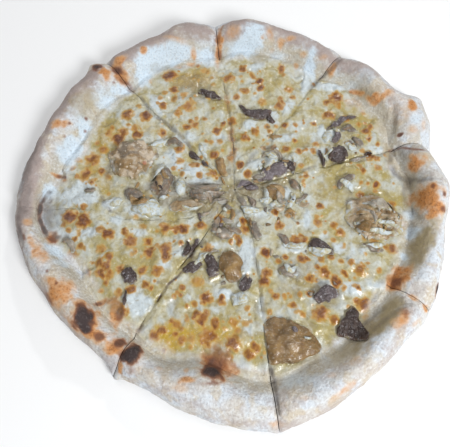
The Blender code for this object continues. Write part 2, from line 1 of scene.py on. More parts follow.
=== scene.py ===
"""Dressed model of a truffle mushroom pizza, cut into eight slices that lie together.

The frame's solids are replaced slice by slice with finer dough, melted cheese and toppings.
Sizes in the tables are millimetres in the frame's axes, and angles are degrees measured
counter-clockwise from +X. Marks are placed where the camera sees them on the level of the
cheese, and are then set on the surface itself. Toppings are laid straight down on it.
"""

import json
import math
import random
from functools import cache

import bmesh
import bpy
import numpy as np
from bpy.props import FloatProperty, FloatVectorProperty, PointerProperty
from mathutils import Euler, Matrix, Vector, noise
from mathutils.bvhtree import BVHTree

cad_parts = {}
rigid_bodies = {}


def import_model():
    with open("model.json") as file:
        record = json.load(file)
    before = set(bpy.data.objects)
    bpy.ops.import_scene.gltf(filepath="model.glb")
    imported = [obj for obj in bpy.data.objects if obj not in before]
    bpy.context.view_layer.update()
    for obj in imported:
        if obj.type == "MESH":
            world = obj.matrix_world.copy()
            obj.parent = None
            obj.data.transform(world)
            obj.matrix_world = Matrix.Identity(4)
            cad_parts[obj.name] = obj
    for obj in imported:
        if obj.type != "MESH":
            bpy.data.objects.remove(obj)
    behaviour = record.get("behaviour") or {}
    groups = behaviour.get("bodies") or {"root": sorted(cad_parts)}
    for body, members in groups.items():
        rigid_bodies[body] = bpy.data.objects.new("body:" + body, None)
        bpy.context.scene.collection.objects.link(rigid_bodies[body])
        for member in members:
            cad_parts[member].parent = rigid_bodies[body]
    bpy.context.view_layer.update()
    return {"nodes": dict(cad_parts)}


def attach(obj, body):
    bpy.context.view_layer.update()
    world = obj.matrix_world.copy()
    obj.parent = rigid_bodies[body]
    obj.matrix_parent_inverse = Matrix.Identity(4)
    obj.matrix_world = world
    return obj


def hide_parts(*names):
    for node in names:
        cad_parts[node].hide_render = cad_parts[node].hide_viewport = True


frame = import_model()

bl_info = {
    "name": "Truffle Mushroom Pizza",
    "version": (1, 0, 0),
    "blender": (4, 5, 0),
    "location": "3D View > Sidebar > Pizza",
    "description": "Dresses a sliced pizza with baked dough, melted cheese and toppings",
    "category": "Add Mesh",
}

MM = 0.001

# ---------------------------------------------------------------- form of the eight slices

CUT_CENTRE = np.array((0.0, 3.0))   # the eight cuts meet here
CUT_LENGTH = 152.0
KERFS = (0.6, 0.6, 0.6, 0.6, 0.15, 0.6, 0.6, 0.6)   # open width of each cut in the dough
WIDEST_KERF = max(KERFS)
MELTED_KERFS = (0.40, 0.12, 0.36, 0.28, 0.24, 0.40, 0.32, 0.14)   # and in the cheese on it
KERF_WAVE = 13.0           # the cheese is open unevenly over this wavelength
KERF_MEAN = 0.45           # share of its cuts' width that is open, how unevenly, and its limits
KERF_UNEVEN = 2.2
KERF_RANGE = (0.08, 1.3)
KERF_SHIFT = 37.0          # keeps the unevenness of the cuts apart
TIP_RADIUS = 1.5           # how near the dough's tips come to the middle
MELTED_TIP = 0.6           # and the cheese's
TIP_CLOSING = 8.0          # the melted cuts close over this distance from the middle
TIP_OPEN = 0.15            # to this share
BASE_HEIGHT = 3.5          # of the dough under the cheese
CHEESE_DEPTH = 4.0
CONTACT_GAP = 0.35         # between dough and cheese
SHOULDER = 6.0             # the rim rounds down over this length beside a cut
SHOULDER_DROP = 0.12       # by this share of its height
SHOULDER_PULL = 0.5        # and draws in this far

# Cuts: direction, and how far each strays sideways at these shares of its length
STRAY_PLACES = (0.25, 0.5, 0.75, 0.9)
CUTS = (
    (15.0, (3.3, 5.4, 8.2, 7.8)),
    (56.5, (5.5, 3.5, 4.0, 2.0)),
    (99.3, (-3.0, -2.0, -0.5, 0.0)),
    (136.6, (1.0, 0.5, 0.0, 0.0)),
    (189.0, (18.0, 16.0, 2.5, 0.8)),
    (242.0, (0.0, -2.9, -3.4, -1.5)),
    (282.6, (6.2, 4.0, 1.6, 0.6)),
    (329.2, (4.1, 1.5, 0.5, 0.3)),
)
SLICES = len(CUTS)

# Reach, width and crown height of the rim at each quarter of each slice
RIM = (
    ((153.0, 161.5, 153.7, 153.0), (33.0, 37.0, 31.0, 28.0), (17.0, 22.0, 21.0, 20.0)),
    ((150.0, 149.2, 150.3, 153.9), (31.0, 27.0, 29.0, 33.0), (16.0, 18.0, 20.0, 22.0)),
    ((151.6, 154.0, 151.8, 151.6), (34.0, 36.0, 31.0, 32.0), (17.0, 21.0, 20.0, 19.0)),
    ((152.0, 155.3, 154.7, 157.6), (34.0, 32.0, 34.0, 28.0), (17.0, 19.0, 18.0, 17.0)),
    ((161.2, 156.6, 152.2, 148.9), (20.0, 23.0, 29.0, 25.0), (15.0, 18.0, 20.0, 19.0)),
    ((150.4, 151.4, 155.9, 161.0), (27.0, 24.0, 34.0, 35.0), (18.0, 20.0, 22.0, 21.0)),
    ((164.9, 162.4, 158.0, 156.0), (32.0, 32.0, 27.0, 29.0), (17.0, 20.0, 21.0, 20.0)),
    ((159.0, 155.5, 152.5, 155.3), (33.0, 30.0, 26.0, 29.0), (17.0, 20.0, 20.0, 22.0)),
)
# The rim's section from its foot over the crown to the underside: shares of the width from the
# outside inward, and of the height
RIM_SECTION = (
    (1.00, 0.00),
    (0.86, 0.36),
    (0.71, 0.70),
    (0.55, 0.93),
    (0.40, 1.00),
    (0.25, 0.93),
    (0.10, 0.70),
    (0.03, 0.52),
    (0.00, 0.36),
    (0.03, 0.16),
    (0.10, 0.00),
)
SECTION_END = len(RIM_SECTION) - 1
CROWN_ROW = 4
SECTION_CORE = (0.45, 0.35)         # the rim swells away from here
OUTSIDE_CLEAR = 0.6
WAVE = ((27.0, 1.2), (11.0, 0.5))   # wavelength and height of the rim's unevenness
# Bubbles of the rim: middle, size and how far they swell
BUBBLES = (
    ((-117.0, 101.0, 10.0), 8.0, 6.5),
    ((138.0, 88.0, 12.0), 9.0, 8.5),
    ((139.0, 5.0, 20.0), 13.0, 4.5),
    ((133.0, 33.0, 16.0), 11.0, 2.5),
    ((115.0, -58.0, 12.0), 9.0, 3.0),
    ((-97.0, -95.0, 18.0), 9.0, 3.0),
    ((-61.0, -117.0, 16.0), 8.0, 3.0),
    ((-8.0, -124.0, 16.0), 11.0, 4.0),
    ((-98.0, 106.0, 14.0), 10.0, 2.5),
    ((-50.0, 148.0, 10.0), 14.0, 2.0),
    ((-138.0, 51.0, 15.0), 10.0, 2.0),
    ((-112.0, -77.0, 17.0), 12.0, 2.5),
    ((-70.0, -130.0, 5.0), 5.0, 5.0),
    ((36.0, -159.0, 6.0), 6.0, 3.0),
)
# Share of the rim's lowest slope that the cheese climbs at each quarter of a slice, or where
# negative how far it stops short of the rim
CHEESE_CLIMB = (
    (0.50, 0.70, 0.60, 0.50),
    (0.60, 0.50, 0.60, 0.70),
    (0.40, 0.50, 0.70, 0.60),
    (0.50, 0.60, 0.50, 0.10),
    (-6.0, -5.0, 0.30, 0.60),
    (0.50, 0.60, 0.70, 0.60),
    (0.60, 0.50, 0.60, 0.50),
    (0.60, 0.50, 0.40, 0.50),
)
CLIMB_WAVE = ((6.0, 0.1),)
CLIMB_RANGE = (0.08, 0.85)
CHEESE_WAVE = ((24.0, 1.1), (12.0, 0.6))
EDGE_STEP = 3.0            # the cheese thins over this length at its outer edge
BARE_RUN = 12.0            # and over this much more where it ends before the rim
EDGE_THINNING = 0.75       # to this share of its depth where that length starts
BARE_EDGE_THINNING = 0.35
EDGE_FILM = 0.3            # depth of the cheese at its outer edge
EDGE_CURVE = 1.1           # how it thins out towards it
EDGE_FEATHER = 0.4         # share of it over which the film runs out flat
BARE_EDGE_CURVE = 1.6      # the same where the cheese ends before the rim
FILM_CLIMB = 0.45          # share of the rim's lowest slope that a thin film runs on
EDGE_DIP = 0.72            # the film's edge runs into the dough by this much
LIFT_CURVE = 1.2

# ---------------------------------------------------------------- fineness of the pieces

DOUGH_STEP = 0.85          # across the rim
DOUGH_BASE_ROWS = 24       # they gather towards the rim's foot
DOUGH_RIM_ROWS = 96
CHEESE_STEP = 0.85
CHEESE_ROWS = 165
CHEESE_SLOPE_ROWS = 22
CROWDING = 0.55            # points stand this much closer beside the cuts
CUT_ROUNDING = 1.2         # the edge beside a cut rounds over this length
CUT_LOSS = 1.1             # and loses this height

END_BLEND = 13.0           # the cheese thins out over this length before its end
END_WANDER = 7.0           # and its end wanders by this much over this wavelength
END_WAVE = 19.0
UNDERSIDE_INSET = 0.8      # the underside's last row lies this far inside its outline
FLAT_TOLERANCE = 1e-7
CURD_LIFT = 0.7            # how far curds and blisters stand up, and oil lies lower
BLISTER_LIFT = 0.55
OIL_SINK = 0.6
CHOPPED_LIFT = 1.6         # lumps of the wet, chopped middle

# Wavelength and height of the finest relief
DOUGH_RELIEF = ((15.0, 0.6), (7.5, 0.35), (3.4, 0.3), (1.7, 0.17))
CHEESE_RELIEF = ((9.0, 1.5), (4.5, 0.9), (1.9, 0.35))

# ---------------------------------------------------------------- baked marks, painted shade and highlight

VIEW_POINT = (0.0010, -0.13865, 0.33173)
VIEW_AIM = (-0.00593, -0.02087, 0.0)
VIEW_LENS = 38.34
SENSOR_WIDTH = 36.0
SEEN_LEVEL = 7.0           # places are read on this level

# Browned blisters of the cheese: place, radius, depth of browning
BLISTERS = (
    (-87, 62, 4.2, 0.9), (-73, 62, 3.8, 1.0), (-77, 45, 3.2, 0.9), (-91, 41, 4.4, 1.0),
    (-88, 47, 3.0, 0.7), (-99, 45, 3.2, 0.5), (-108, 22, 4.6, 0.8), (-100, 13, 2.6, 0.9),
    (-112, 8, 4.0, 0.7), (-122, 14, 1.9, 0.8), (-101, 30, 3.2, 0.7), (-44, 34, 2.8, 0.8),
    (-43, 24, 2.4, 0.7), (-27, 14, 2.4, 0.8), (-58, 48, 2.8, 0.9), (-107, 36, 2.0, 0.5),
    (-80, 51, 2.8, 0.6), (-85, 53, 1.6, 0.6), (-118, 20, 2.2, 0.4), (-40, 14, 2.0, 0.6),
    (-47, 18, 1.8, 0.6), (-17, 16, 3.0, 0.7), (-84, 31, 3.0, 0.6), (-67, 24, 2.3, 0.8),
    (-62, -12, 2.6, 0.8), (-106, 4, 2.5, 0.5), (-79, 70, 2.0, 0.5), (-95, 9, 2.0, 0.5),
    (-58, 100, 4.6, 1.0), (-53, 87, 3.2, 0.9), (-45, 83, 2.6, 0.6), (-60, 72, 2.6, 0.9),
    (-48, 66, 3.0, 0.7), (-40, 73, 4.2, 0.7), (-27, 62, 2.3, 0.6), (-34, 56, 2.6, 0.7),
    (-40, 54, 2.4, 0.7), (-17, 52, 2.6, 0.9), (-17, 31, 3.2, 0.8), (-60, 84, 2.0, 0.5),
    (-63, 78, 2.0, 0.5), (-52, 78, 2.6, 0.5), (-14, 43, 2.2, 0.6), (-20, 42, 1.6, 0.5),
    (-30, 107, 3.0, 0.4), (-12, 58, 2.0, 0.6), (-24, 23, 2.2, 1.0), (-32, 22, 2.4, 0.5),
    (15, 99, 3.1, 1.0), (16, 93, 2.6, 0.9), (32, 113, 2.9, 0.8), (10, 103, 2.0, 0.6),
    (3, 89, 3.0, 0.7), (38, 93, 3.2, 0.6), (32, 84, 2.3, 0.7), (31, 77, 3.2, 0.8),
    (42, 86, 2.0, 0.6), (13, 53, 2.6, 0.7), (36, 60, 2.3, 0.9), (5, 47, 3.0, 0.8),
    (3, 24, 2.6, 0.9), (9, 17, 2.9, 0.8), (-3, 83, 2.5, 0.7), (-10, 100, 4.0, 0.8),
    (1, 110, 3.0, 0.8), (25, 50, 2.0, 0.8), (22, 58, 2.0, 0.6), (44, 61, 1.8, 0.7),
    (34, 106, 2.0, 0.5), (17, 80, 3.2, 0.5), (-5, 61, 3.0, 0.7), (8, 105, 2.2, 0.5),
    (76, 87, 4.4, 1.0), (94, 86, 3.6, 0.8), (70, 71, 3.7, 0.8), (58, 62, 2.1, 0.9),
    (47, 38, 2.3, 0.8), (37, 39, 3.0, 0.8), (58, 39, 2.3, 0.8), (100, 37, 3.2, 1.0),
    (98, 58, 2.6, 0.9), (100, 52, 2.4, 1.0), (102, 63, 2.1, 0.7), (69, 83, 2.6, 0.8),
    (78, 79, 2.0, 0.6), (83, 68, 2.6, 0.9), (97, 76, 2.0, 0.5), (84, 47, 2.0, 0.6),
    (93, 64, 2.0, 0.6), (60, 45, 2.0, 0.6), (28, 40, 2.6, 0.6), (20, 40, 2.0, 0.5),
    (48, 26, 2.0, 0.6), (43, 47, 2.0, 0.6), (87, 85, 2.4, 0.5), (105, 35, 2.4, 0.7),
    (104, 13, 2.4, 1.0), (92, 4, 2.9, 0.8), (95, 25, 2.3, 0.8), (62, -6, 2.4, 0.9),
    (30, -12, 2.6, 0.9), (40, -14, 2.3, 0.6), (33, -23, 3.0, 0.8), (61, -19, 2.6, 0.7),
    (77, -26, 2.6, 0.8), (72, -20, 2.6, 0.7), (124, -18, 2.6, 0.8), (113, -35, 3.2, 0.9),
    (93, -23, 3.6, 0.7), (106, 27, 2.6, 0.6), (93, 15, 1.6, 0.7), (98, 14, 1.3, 0.7),
    (92, 29, 2.0, 0.6), (115, -1, 2.6, 0.6), (119, -12, 2.6, 0.7), (100, -31, 2.6, 0.6),
    (104, -14, 4.0, 0.5), (84, -5, 1.6, 0.8), (52, 20, 1.9, 0.6), (50, 13, 1.6, 0.6),
    (24, -43, 3.0, 1.0), (25, -58, 3.0, 0.8), (24, -64, 3.2, 1.0), (49, -47, 3.0, 0.9),
    (38, -46, 2.1, 0.8), (32, -74, 2.3, 0.8), (45, -33, 3.0, 0.8), (51, -33, 2.6, 0.8),
    (44, -79, 2.6, 0.7), (55, -60, 2.7, 0.8), (65, -55, 3.7, 0.8), (79, -55, 2.6, 0.8),
    (90, -52, 3.8, 0.8), (84, -47, 2.0, 0.7), (73, -62, 3.6, 0.9), (88, -65, 1.9, 0.8),
    (62, -84, 4.7, 0.9), (72, -88, 2.7, 0.7), (92, -76, 4.2, 0.9), (98, -76, 2.6, 0.8),
    (70, -44, 2.1, 0.7), (77, -46, 1.9, 0.6), (63, -46, 2.1, 0.6), (33, -49, 1.6, 0.7),
    (28, -71, 1.6, 0.5), (48, -72, 1.7, 0.6), (55, -70, 1.7, 0.6), (60, -52, 1.7, 0.7),
    (103, -52, 2.1, 0.6), (86, -74, 2.1, 0.7), (50, -85, 2.1, 0.6), (93, -84, 2.1, 0.5),
    (5, -37, 2.3, 0.8), (7, -21, 2.4, 0.9), (9, -27, 3.0, 0.8), (-16, -78, 3.7, 1.0),
    (-5, -80, 2.6, 0.8), (-32, -72, 2.0, 0.8), (-37, -78, 1.6, 0.6), (-22, -67, 3.6, 0.5),
    (-28, -84, 1.7, 0.7), (-15, -88, 2.4, 0.7), (-18, -92, 3.7, 0.7), (-8, -95, 3.2, 0.8),
    (5, -107, 4.7, 0.9), (-12, -103, 5.2, 0.8), (16, -113, 3.2, 0.8), (20, -109, 2.7, 0.7),
    (-43, -101, 2.7, 0.8), (-48, -105, 3.2, 0.8), (-30, -107, 3.0, 0.7), (-34, -97, 2.7, 0.6),
    (4, -93, 2.6, 0.6), (12, -93, 2.0, 0.6), (7, -98, 2.2, 0.6), (-41, -114, 1.3, 0.8),
    (-23, -105, 3.0, 0.5), (-2, -98, 2.0, 0.5), (-10, -20, 3.0, 0.9), (-17, -43, 3.2, 0.7),
    (3, -33, 2.2, 0.7), (-12, -109, 2.2, 0.6), (-27, -93, 2.0, 0.5), (2, -115, 2.0, 0.4),
    (-119, -24, 4.6, 1.0), (-109, -27, 5.2, 1.0), (-122, -31, 2.1, 0.7), (-118, -34, 2.3, 0.7),
    (-110, -16, 2.3, 0.7), (-88, -36, 3.8, 1.0), (-112, -41, 2.1, 0.8), (-107, -46, 2.7, 0.7),
    (-72, -40, 4.2, 0.8), (-59, -40, 2.7, 0.8), (-77, -34, 2.4, 0.7), (-58, -48, 3.7, 0.9),
    (-46, -44, 3.7, 0.8), (-46, -51, 3.2, 0.9), (-48, -29, 3.7, 0.8), (-41, -30, 2.7, 0.7),
    (-35, -29, 3.2, 0.9), (-23, -26, 3.2, 0.9), (-92, -47, 3.2, 0.5), (-112, -52, 3.4, 0.8),
    (-86, -53, 2.7, 0.8), (-92, -57, 2.7, 0.8), (-86, -60, 3.2, 0.8), (-90, -65, 3.2, 0.8),
    (-84, -66, 2.9, 0.7), (-99, -65, 2.7, 0.8), (-61, -61, 3.4, 0.8), (-51, -61, 3.4, 0.8),
    (-58, -71, 2.4, 0.8), (-73, -91, 4.8, 1.0), (-68, -103, 4.2, 0.8), (-85, -72, 1.7, 0.7),
    (-76, -61, 2.7, 0.7), (-94, -33, 2.7, 0.6), (-36, -40, 1.7, 0.7), (-110, -37, 2.1, 0.6),
    (-64, -29, 2.6, 0.4), (-67, -75, 3.0, 0.9), (-53, -73, 1.7, 0.7), (-75, -78, 2.6, 0.7),
)
BLISTER_SPREAD = 1.13      # the browning spreads this much beyond a blister's radius
FRECKLES = 330             # smaller ones, scattered between them
FRECKLE_RADII = (0.8, 2.0)
FRECKLE_DEPTHS = (0.3, 0.75)
FRECKLES_GATHERED = 0.6    # share that lies near the larger ones
FRECKLE_GAP = 5.0
FRECKLE_FIELD = 124.0
JUICE_AND_SHADE = 0.35               # juice stain and painted shade round toppings, by this share
JUICE_AND_SHADE_REACH = 2.0
MARK_REACH = 1.8           # a mark's outline wanders no further than this share of its size
MARK_HEIGHT = 1.2          # and it reaches up and down by this share
FINE_WANDER = ((3.4, 0.5), (1.7, 0.25))   # of the outlines of blisters
WIDE_WANDER = ((8.0, 0.4), (4.0, 0.3), (2.0, 0.12))   # and of other marks
LINE_REACH = 2.2           # a line fades out within this many half widths
LINE_BREAKS = (6.0, 1.1)   # wavelength and strength of a line's unevenness

# Other marks: place, half length, half width, direction of the length, strength
MARKS = {
    "char": (
        (-118, 105, 5, 4, 0, 0.9), (-97, -95, 7.5, 9, -20, 1.0), (-95, -102, 4, 4, 0, 0.9),
        (-61, -117, 6.5, 8, -10, 1.0), (-67, -120, 4, 4, 0, 0.8), (-8, -125, 7, 7, 0, 1.0),
        (-3, -120, 11, 11, 0, 0.42), (-127, -42, 4, 5.5, 0, 0.55), (-73, -92, 3, 7, 5, 0.5),
        (142, -64, 3.2, 5, -25, 1.0), (-70, -111, 4.5, 4, 0, 0.65), (-84, -108, 4, 3, 0, 0.6),
        (-61, -127, 3, 4, 0, 0.3), (-101, 103, 5, 3, -10, 0.7), (115, -59, 5, 5, 0, 0.5),
        (120, -80, 3, 4, -20, 0.45), (153, 9, 2, 2, 0, 0.6), (146, 15, 1.6, 1.6, 0, 0.5),
        (-148, -42, 4, 1.5, -60, 0.45), (-123, -84, 6, 2, -45, 0.4), (152, -3, 3, 2.5, 0, 0.5),
        (-119, 57, 1.5, 1.8, 0, 0.5), (-118, 46, 1.6, 1.6, 0, 0.5), (-133, 40, 1.5, 1.5, 0, 0.4),
        (-131, 52, 1.2, 1.4, 0, 0.5), (-102, 91, 1.8, 1.2, 30, 0.4), (-127, -66, 1.3, 1.5, 0, 0.5),
        (-119, -74, 1.2, 1.6, 0, 0.5), (-44, -89, 1.8, 1.2, 0, 0.4), (-49, -69, 1.6, 1.4, 0, 0.5),
        (125, 57, 2.6, 1.6, 10, 0.7), (-88, -86, 3.5, 1.6, 20, 0.6), (-9, -133, 8, 1.6, 5, 0.4),

    ),
    "toast": (
        (-97, -95, 11, 12, -20, 0.8), (-61, -117, 9, 11, -10, 0.6), (-110, 100, 4.5, 7, 20, 0.9),
        (-96, 98, 6, 7, 30, 0.8), (-101, 112, 9, 4, 45, 0.7), (-82, 125, 3, 3.5, 0, 0.8),
        (-40, 121, 2.5, 6, 5, 0.6), (-41, 113, 4, 3, 0, 0.6), (-51, 109, 4, 2.5, 0, 0.4),
        (-55, 137, 12, 2.5, -5, 0.35), (-20, 132, 3, 18, -3, 0.75), (-9, 147, 7, 6, 0, 0.45),
        (22, 147, 4, 6, 30, 0.45), (31, 138, 2.6, 5, 10, 0.6), (39, 144, 5, 2.4, 10, 0.5),
        (24, 131, 2.5, 3, 0, 0.3), (44, 117, 2.6, 4, 0, 0.55), (50, 128, 3.5, 3, 0, 0.45),
        (66, 125, 5, 3, 0, 0.35), (73, 114, 3, 6, -25, 0.75), (107, 89, 4, 6, -35, 0.75),
        (118, 95, 4, 3, 20, 0.55), (136, 84, 3.4, 7, 0, 1.0), (134, 62, 4.5, 4, 0, 0.45),
        (143, 66, 2.5, 5, 0, 0.35), (133, 33, 5.5, 7, -35, 0.9), (141, 38, 5, 4, 40, 0.5),
        (140, 6, 11, 10, 20, 1.0), (148, -2, 6, 6, 0, 0.9), (131, 4, 4, 5, 0, 0.5),
        (141, -9, 4, 2.4, 10, 0.8), (115, -58, 7, 9, -15, 1.0), (121, -51, 7, 4, 35, 0.7),
        (125, -69, 5, 2, -30, 0.6), (133, -76, 4, 2.4, -20, 0.8), (119, -82, 4, 6, -30, 0.7),
        (113, -88, 4, 4, 0, 0.5), (126, -86, 5, 3, 40, 0.4), (-133, 7, 5, 1.6, -5, 0.8),
        (-127, 4, 3, 1.4, 0, 0.7), (-141, 51, 5.5, 5, 30, 0.8), (-132, 52, 4, 3, 0, 0.4),
        (-128, -42, 5, 5.5, 0, 0.75), (-135, -53, 5, 8, 35, 0.65), (-143, -44, 3, 5, 30, 0.5),
        (-148, -31, 3, 4, 0, 0.5), (-118, -82, 10, 7, -35, 0.85), (-112, -75, 8, 5, -15, 0.55),
        (-124, -72, 6, 3, -30, 0.6), (-91, -97, 4.5, 9, 0, 0.8), (-100, -86, 5, 4, 0, 0.5),
        (-92, -107, 4, 3, 0, 0.8), (-84, -108, 7, 5, 0, 0.7), (-73, -113, 8, 6, 0, 0.85),
        (-68, -126, 3, 6, 0, 0.8), (-5, -121, 12, 13, 0, 0.95), (129, 82, 10, 13, 0, 0.32),
        (-24, -131, 6, 2.6, 0, 0.8), (-25, -126, 2, 3, 0, 0.5), (-28, -137, 5, 3.4, 0, 0.4),
        (-76, -92, 5, 11, 15, 0.8), (-82, -84, 9, 2.5, 20, 0.6), (-43, -126, 3, 2, 0, 0.3),
        (52, -138, 4, 2, 0, 0.35), (66, -148, 6, 2, 30, 0.35), (80, -130, 6, 3, 35, 0.4),
        (72, -136, 7, 3, 35, 0.35), (68, -123, 5, 2, 10, 0.3), (85, -113, 6, 2.4, 30, 0.35),
        (33, -155, 5, 3, 0, 0.45), (93, -100, 2, 2, 0, 0.2), (54, -97, 3, 2.5, 0, 0.6),

    ),
    # Blush: pink-brown crust on the outer slopes; heaviest away from the light, where it is
    # painted shade too.
    "blush_and_shade": (
        (50, -153, 32, 5, 15, 0.35), (-153, 10, 8, 60, 3, 1.0), (-143, 62, 9, 36, -20, 1.0),
        (-125, 92, 10, 16, -35, 1.0), (-100, 116, 16, 9, 45, 1.0), (-78, 134, 24, 10, 34, 1.0),
        (-45, 150, 22, 10, 0, 1.0), (-60, 139, 18, 5, 10, 0.7), (-8, 150, 15, 12, 0, 1.0),
        (15, 154, 22, 7, -8, 0.9), (40, 147, 18, 8, -22, 0.9), (68, 131, 20, 8, -36, 0.9),
        (95, 118, 18, 7, -27, 0.8), (118, 102, 12, 6, -45, 0.3), (130, 40, 14, 9, 0, 0.35),
        (-155, -30, 5, 24, 10, 0.7), (-145, -62, 5, 16, 38, 0.7), (-125, -82, 16, 6, -45, 0.7),
        (-100, -105, 16, 5, -42, 0.6), (-72, -125, 14, 6, -35, 0.6), (20, -155, 30, 3, 0, 0.4),
        (-30, -143, 30, 4, -20, 0.3), (75, -140, 24, 6, 36, 0.5), (110, -105, 16, 6, 45, 0.4),
        (118, -84, 12, 7, 40, 0.5), (128, 20, 6, 8, 0, 0.4), (112, 86, 9, 5, 20, 0.3),
        (36, -135, 4, 20, 5, 0.4),

    ),
    # Milk: milky curds, laid bluish white on the dough too; on inner slopes facing the key light,
    # painted highlight too.
    "milk": (
        (-130, -24, 8, 14, 10, 0.5), (-122, -38, 9, 5, 0, 0.6), (50, -127, 16, 5, 8, 0.35),
        (-70, 118, 16, 8, 15, 0.9), (-54, 126, 12, 7, 10, 0.8), (-78, 100, 6, 14, 5, 0.9),
        (-65, 75, 7, 5, -40, 0.7), (-60, 68, 5, 5, 0, 0.5), (-30, 118, 9, 9, 0, 0.8),
        (-36, 46, 6, 4, -30, 0.5), (-27, 36, 3, 7, -15, 0.8), (-15, 66, 5, 5, 0, 0.4),
        (7, 140, 10, 12, -30, 0.9), (-5, 128, 12, 7, 25, 0.7), (12, 113, 6, 4, 0, 0.6),
        (55, 112, 5, 16, -5, 0.9), (52, 97, 4, 10, -10, 0.7), (38, 76, 4, 7, -20, 0.7),
        (27, 66, 4, 6, 0, 0.7), (8, 58, 5, 5, 0, 0.7), (34, 49, 8, 4, 10, 0.6),
        (27, 123, 8, 6, 0, 0.4), (70, 97, 11, 4, 0, 1.0), (88, 96, 5, 6, 0, 0.5),
        (70, 53, 8, 6, 0, 0.8), (64, 58, 3, 4, 0, 0.7), (65, 36, 4, 6, 0, 0.9),
        (88, 44, 6, 6, 0, 0.5), (40, 51, 6, 3, 0, 0.6), (53, 38, 6, 5, 0, 0.5),
        (44, 31, 6, 5, 0, 0.6), (104, 43, 7, 2.4, 0, 0.6), (28, 30, 7, 5, 20, 0.9),
        (15, 25, 6, 4, 30, 0.6), (60, 49, 4, 5, 0, 0.5), (53, -16, 2.6, 6, 0, 0.8),
        (130, -22, 7, 5, 30, 0.9), (127, -8, 5, 5, 0, 0.6), (38, 1, 3, 8, 0, 0.5),
        (86, 13, 6, 5, 0, 0.4), (118, 17, 7, 8, 0, 0.3), (14, -13, 9, 3, 0, 0.7),
        (102, -20, 12, 3, 5, 0.6), (106, -24, 10, 2.4, 0, 0.5), (47, -40, 8, 4, 0, 0.8),
        (76, -37, 5, 4, 0, 0.7), (66, -29, 4, 4, 0, 0.6), (84, -66, 7, 5, 0, 0.7),
        (56, -73, 5, 4, 0, 0.7), (41, -57, 7, 5, 0, 0.6), (100, -62, 7, 4, 0, 0.6),
        (121, -41, 4, 2.4, -40, 0.8), (66, -63, 5, 3, 0, 0.6), (93, -38, 9, 4, 0, 0.3),
        (11, -46, 4.5, 13, 5, 1.0), (-10, -40, 9, 2.6, 5, 0.7), (-3, -75, 6, 4, 0, 0.9),
        (-9, -86, 4, 4, 0, 0.6), (12, -99, 5, 3, 0, 0.5), (-28, -79, 3, 3, 0, 0.7),
        (-37, -88, 6, 8, 0, 0.3), (22, -82, 3, 7, 5, 0.6), (-60, -84, 8, 10, 10, 0.9),
        (-70, -85, 4, 6, 0, 0.6), (-104, -36, 7, 4, 10, 0.9), (-95, -35, 5, 3, 0, 0.6),
        (-125, -51, 8, 6, 0, 0.8), (-118, -60, 6, 4, 0, 0.5), (-122, -9, 16, 8, 5, 1.0),
        (-136, -6, 6, 6, 0, 0.8), (-95, -29, 5, 3, 0, 0.5), (-66, -34, 5, 3, 0, 0.5),
        (-84, -25, 5, 3, 0, 0.5), (-38, -36, 6, 4, 0, 0.6), (-35, -46, 5, 5, 0, 0.5),
        (-70, -50, 8, 3, 0, 0.4), (-48, -57, 6, 3, 0, 0.4), (-90, -94, 5, 4, 0, 0.4),
        (-125, 28, 8, 14, -10, 0.9), (-120, 50, 6, 9, 0, 0.7), (-106, 74, 9, 8, 40, 0.6),
        (-94, 85, 8, 6, 0, 0.9), (-112, 0, 8, 5, 0, 0.8), (-89, -13, 6, 4, 20, 0.9),
        (-65, -17, 11, 5, 0, 0.9), (-44, 41, 7, 4, -30, 0.6), (-35, 19, 11, 6, -10, 0.9),
        (-24, 9, 9, 3, 0, 0.8), (-49, 29, 6, 4, 0, 0.7), (-58, 43, 4, 4, 0, 0.6),
        (-76, 12, 10, 2, 0, 0.7), (-40, 2, 3, 6, 15, 0.6), (-104, -8, 6, 4, 0, 0.6),
        (13, 148, 12, 5, -10, 0.4), (100, 108, 9, 7, 0, 0.3), (137, 72, 5, 5, 0, 0.5),

    ),
    "oil": (
        (-20, -101, 24, 11, 0, 0.55), (-36, -103, 12, 9, 0, 1.0), (8, -104, 12, 8, 0, 0.5),
        (-40, -113, 10, 5, 0, 0.7), (-100, 45, 10, 12, 0, 0.6), (-108, 15, 9, 12, 0, 0.7),
        (-96, 3, 6, 10, 0, 0.5), (-40, 97, 16, 9, 0, 0.8), (-28, 104, 12, 8, 0, 0.5),
        (93, -77, 11, 5, 0, 0.8), (80, 82, 14, 8, 0, 0.4), (100, 72, 7, 16, 10, 0.45),
        (38, 93, 8, 9, 0, 0.45), (74, -8, 6, 14, 0, 0.35), (-72, -23, 9, 2, -5, 0.5),
        (-104, 30, 6, 6, 0, 0.5), (-8, -102, 14, 9, 0, 0.5), (18, -111, 10, 5, 0, 0.5),
        (64, -86, 10, 5, 0, 0.4), (97, -70, 8, 4, 0, 0.5), (112, 62, 6, 10, 0, 0.35),
        (-22, -68, 8, 4, 0, 0.5), (60, 10, 10, 8, 0, 0.25), (-45, -60, 10, 5, 0, 0.25),
        (93, -55, 8, 5, 0, 0.4), (-26, -24, 8, 4, 0, 0.3), (-88, -60, 12, 10, 0, 0.3),
        (70, 70, 10, 6, 0, 0.35), (5, -98, 6, 5, 0, 0.5), (-70, 52, 14, 6, 0, 0.4),

    ),
    # Shade: painted shade on slopes turned from the light, in the left crevice and beside
    # toppings.
    "shade": (
        (-128, -24, 9, 13, 15, 0.4), (-135, -22, 5, 13, 15, 0.6), (-137, 22, 12, 45, 5, 0.16),
        (-50, 143, 20, 4, 5, 0.15), (-95, 104, 6, 6, 0, 0.25), (-156, 5, 5, 60, 3, 0.5),
        (-146, -60, 5, 16, 38, 0.3), (-150, -42, 3, 8, 25, 0.5), (-120, -45, 4, 4, 0, 0.35),
        (-132, 88, 6, 16, -35, 0.25), (84, -15, 5, 12, 0, 0.45), (-96, 15, 3, 12, -5, 0.5),
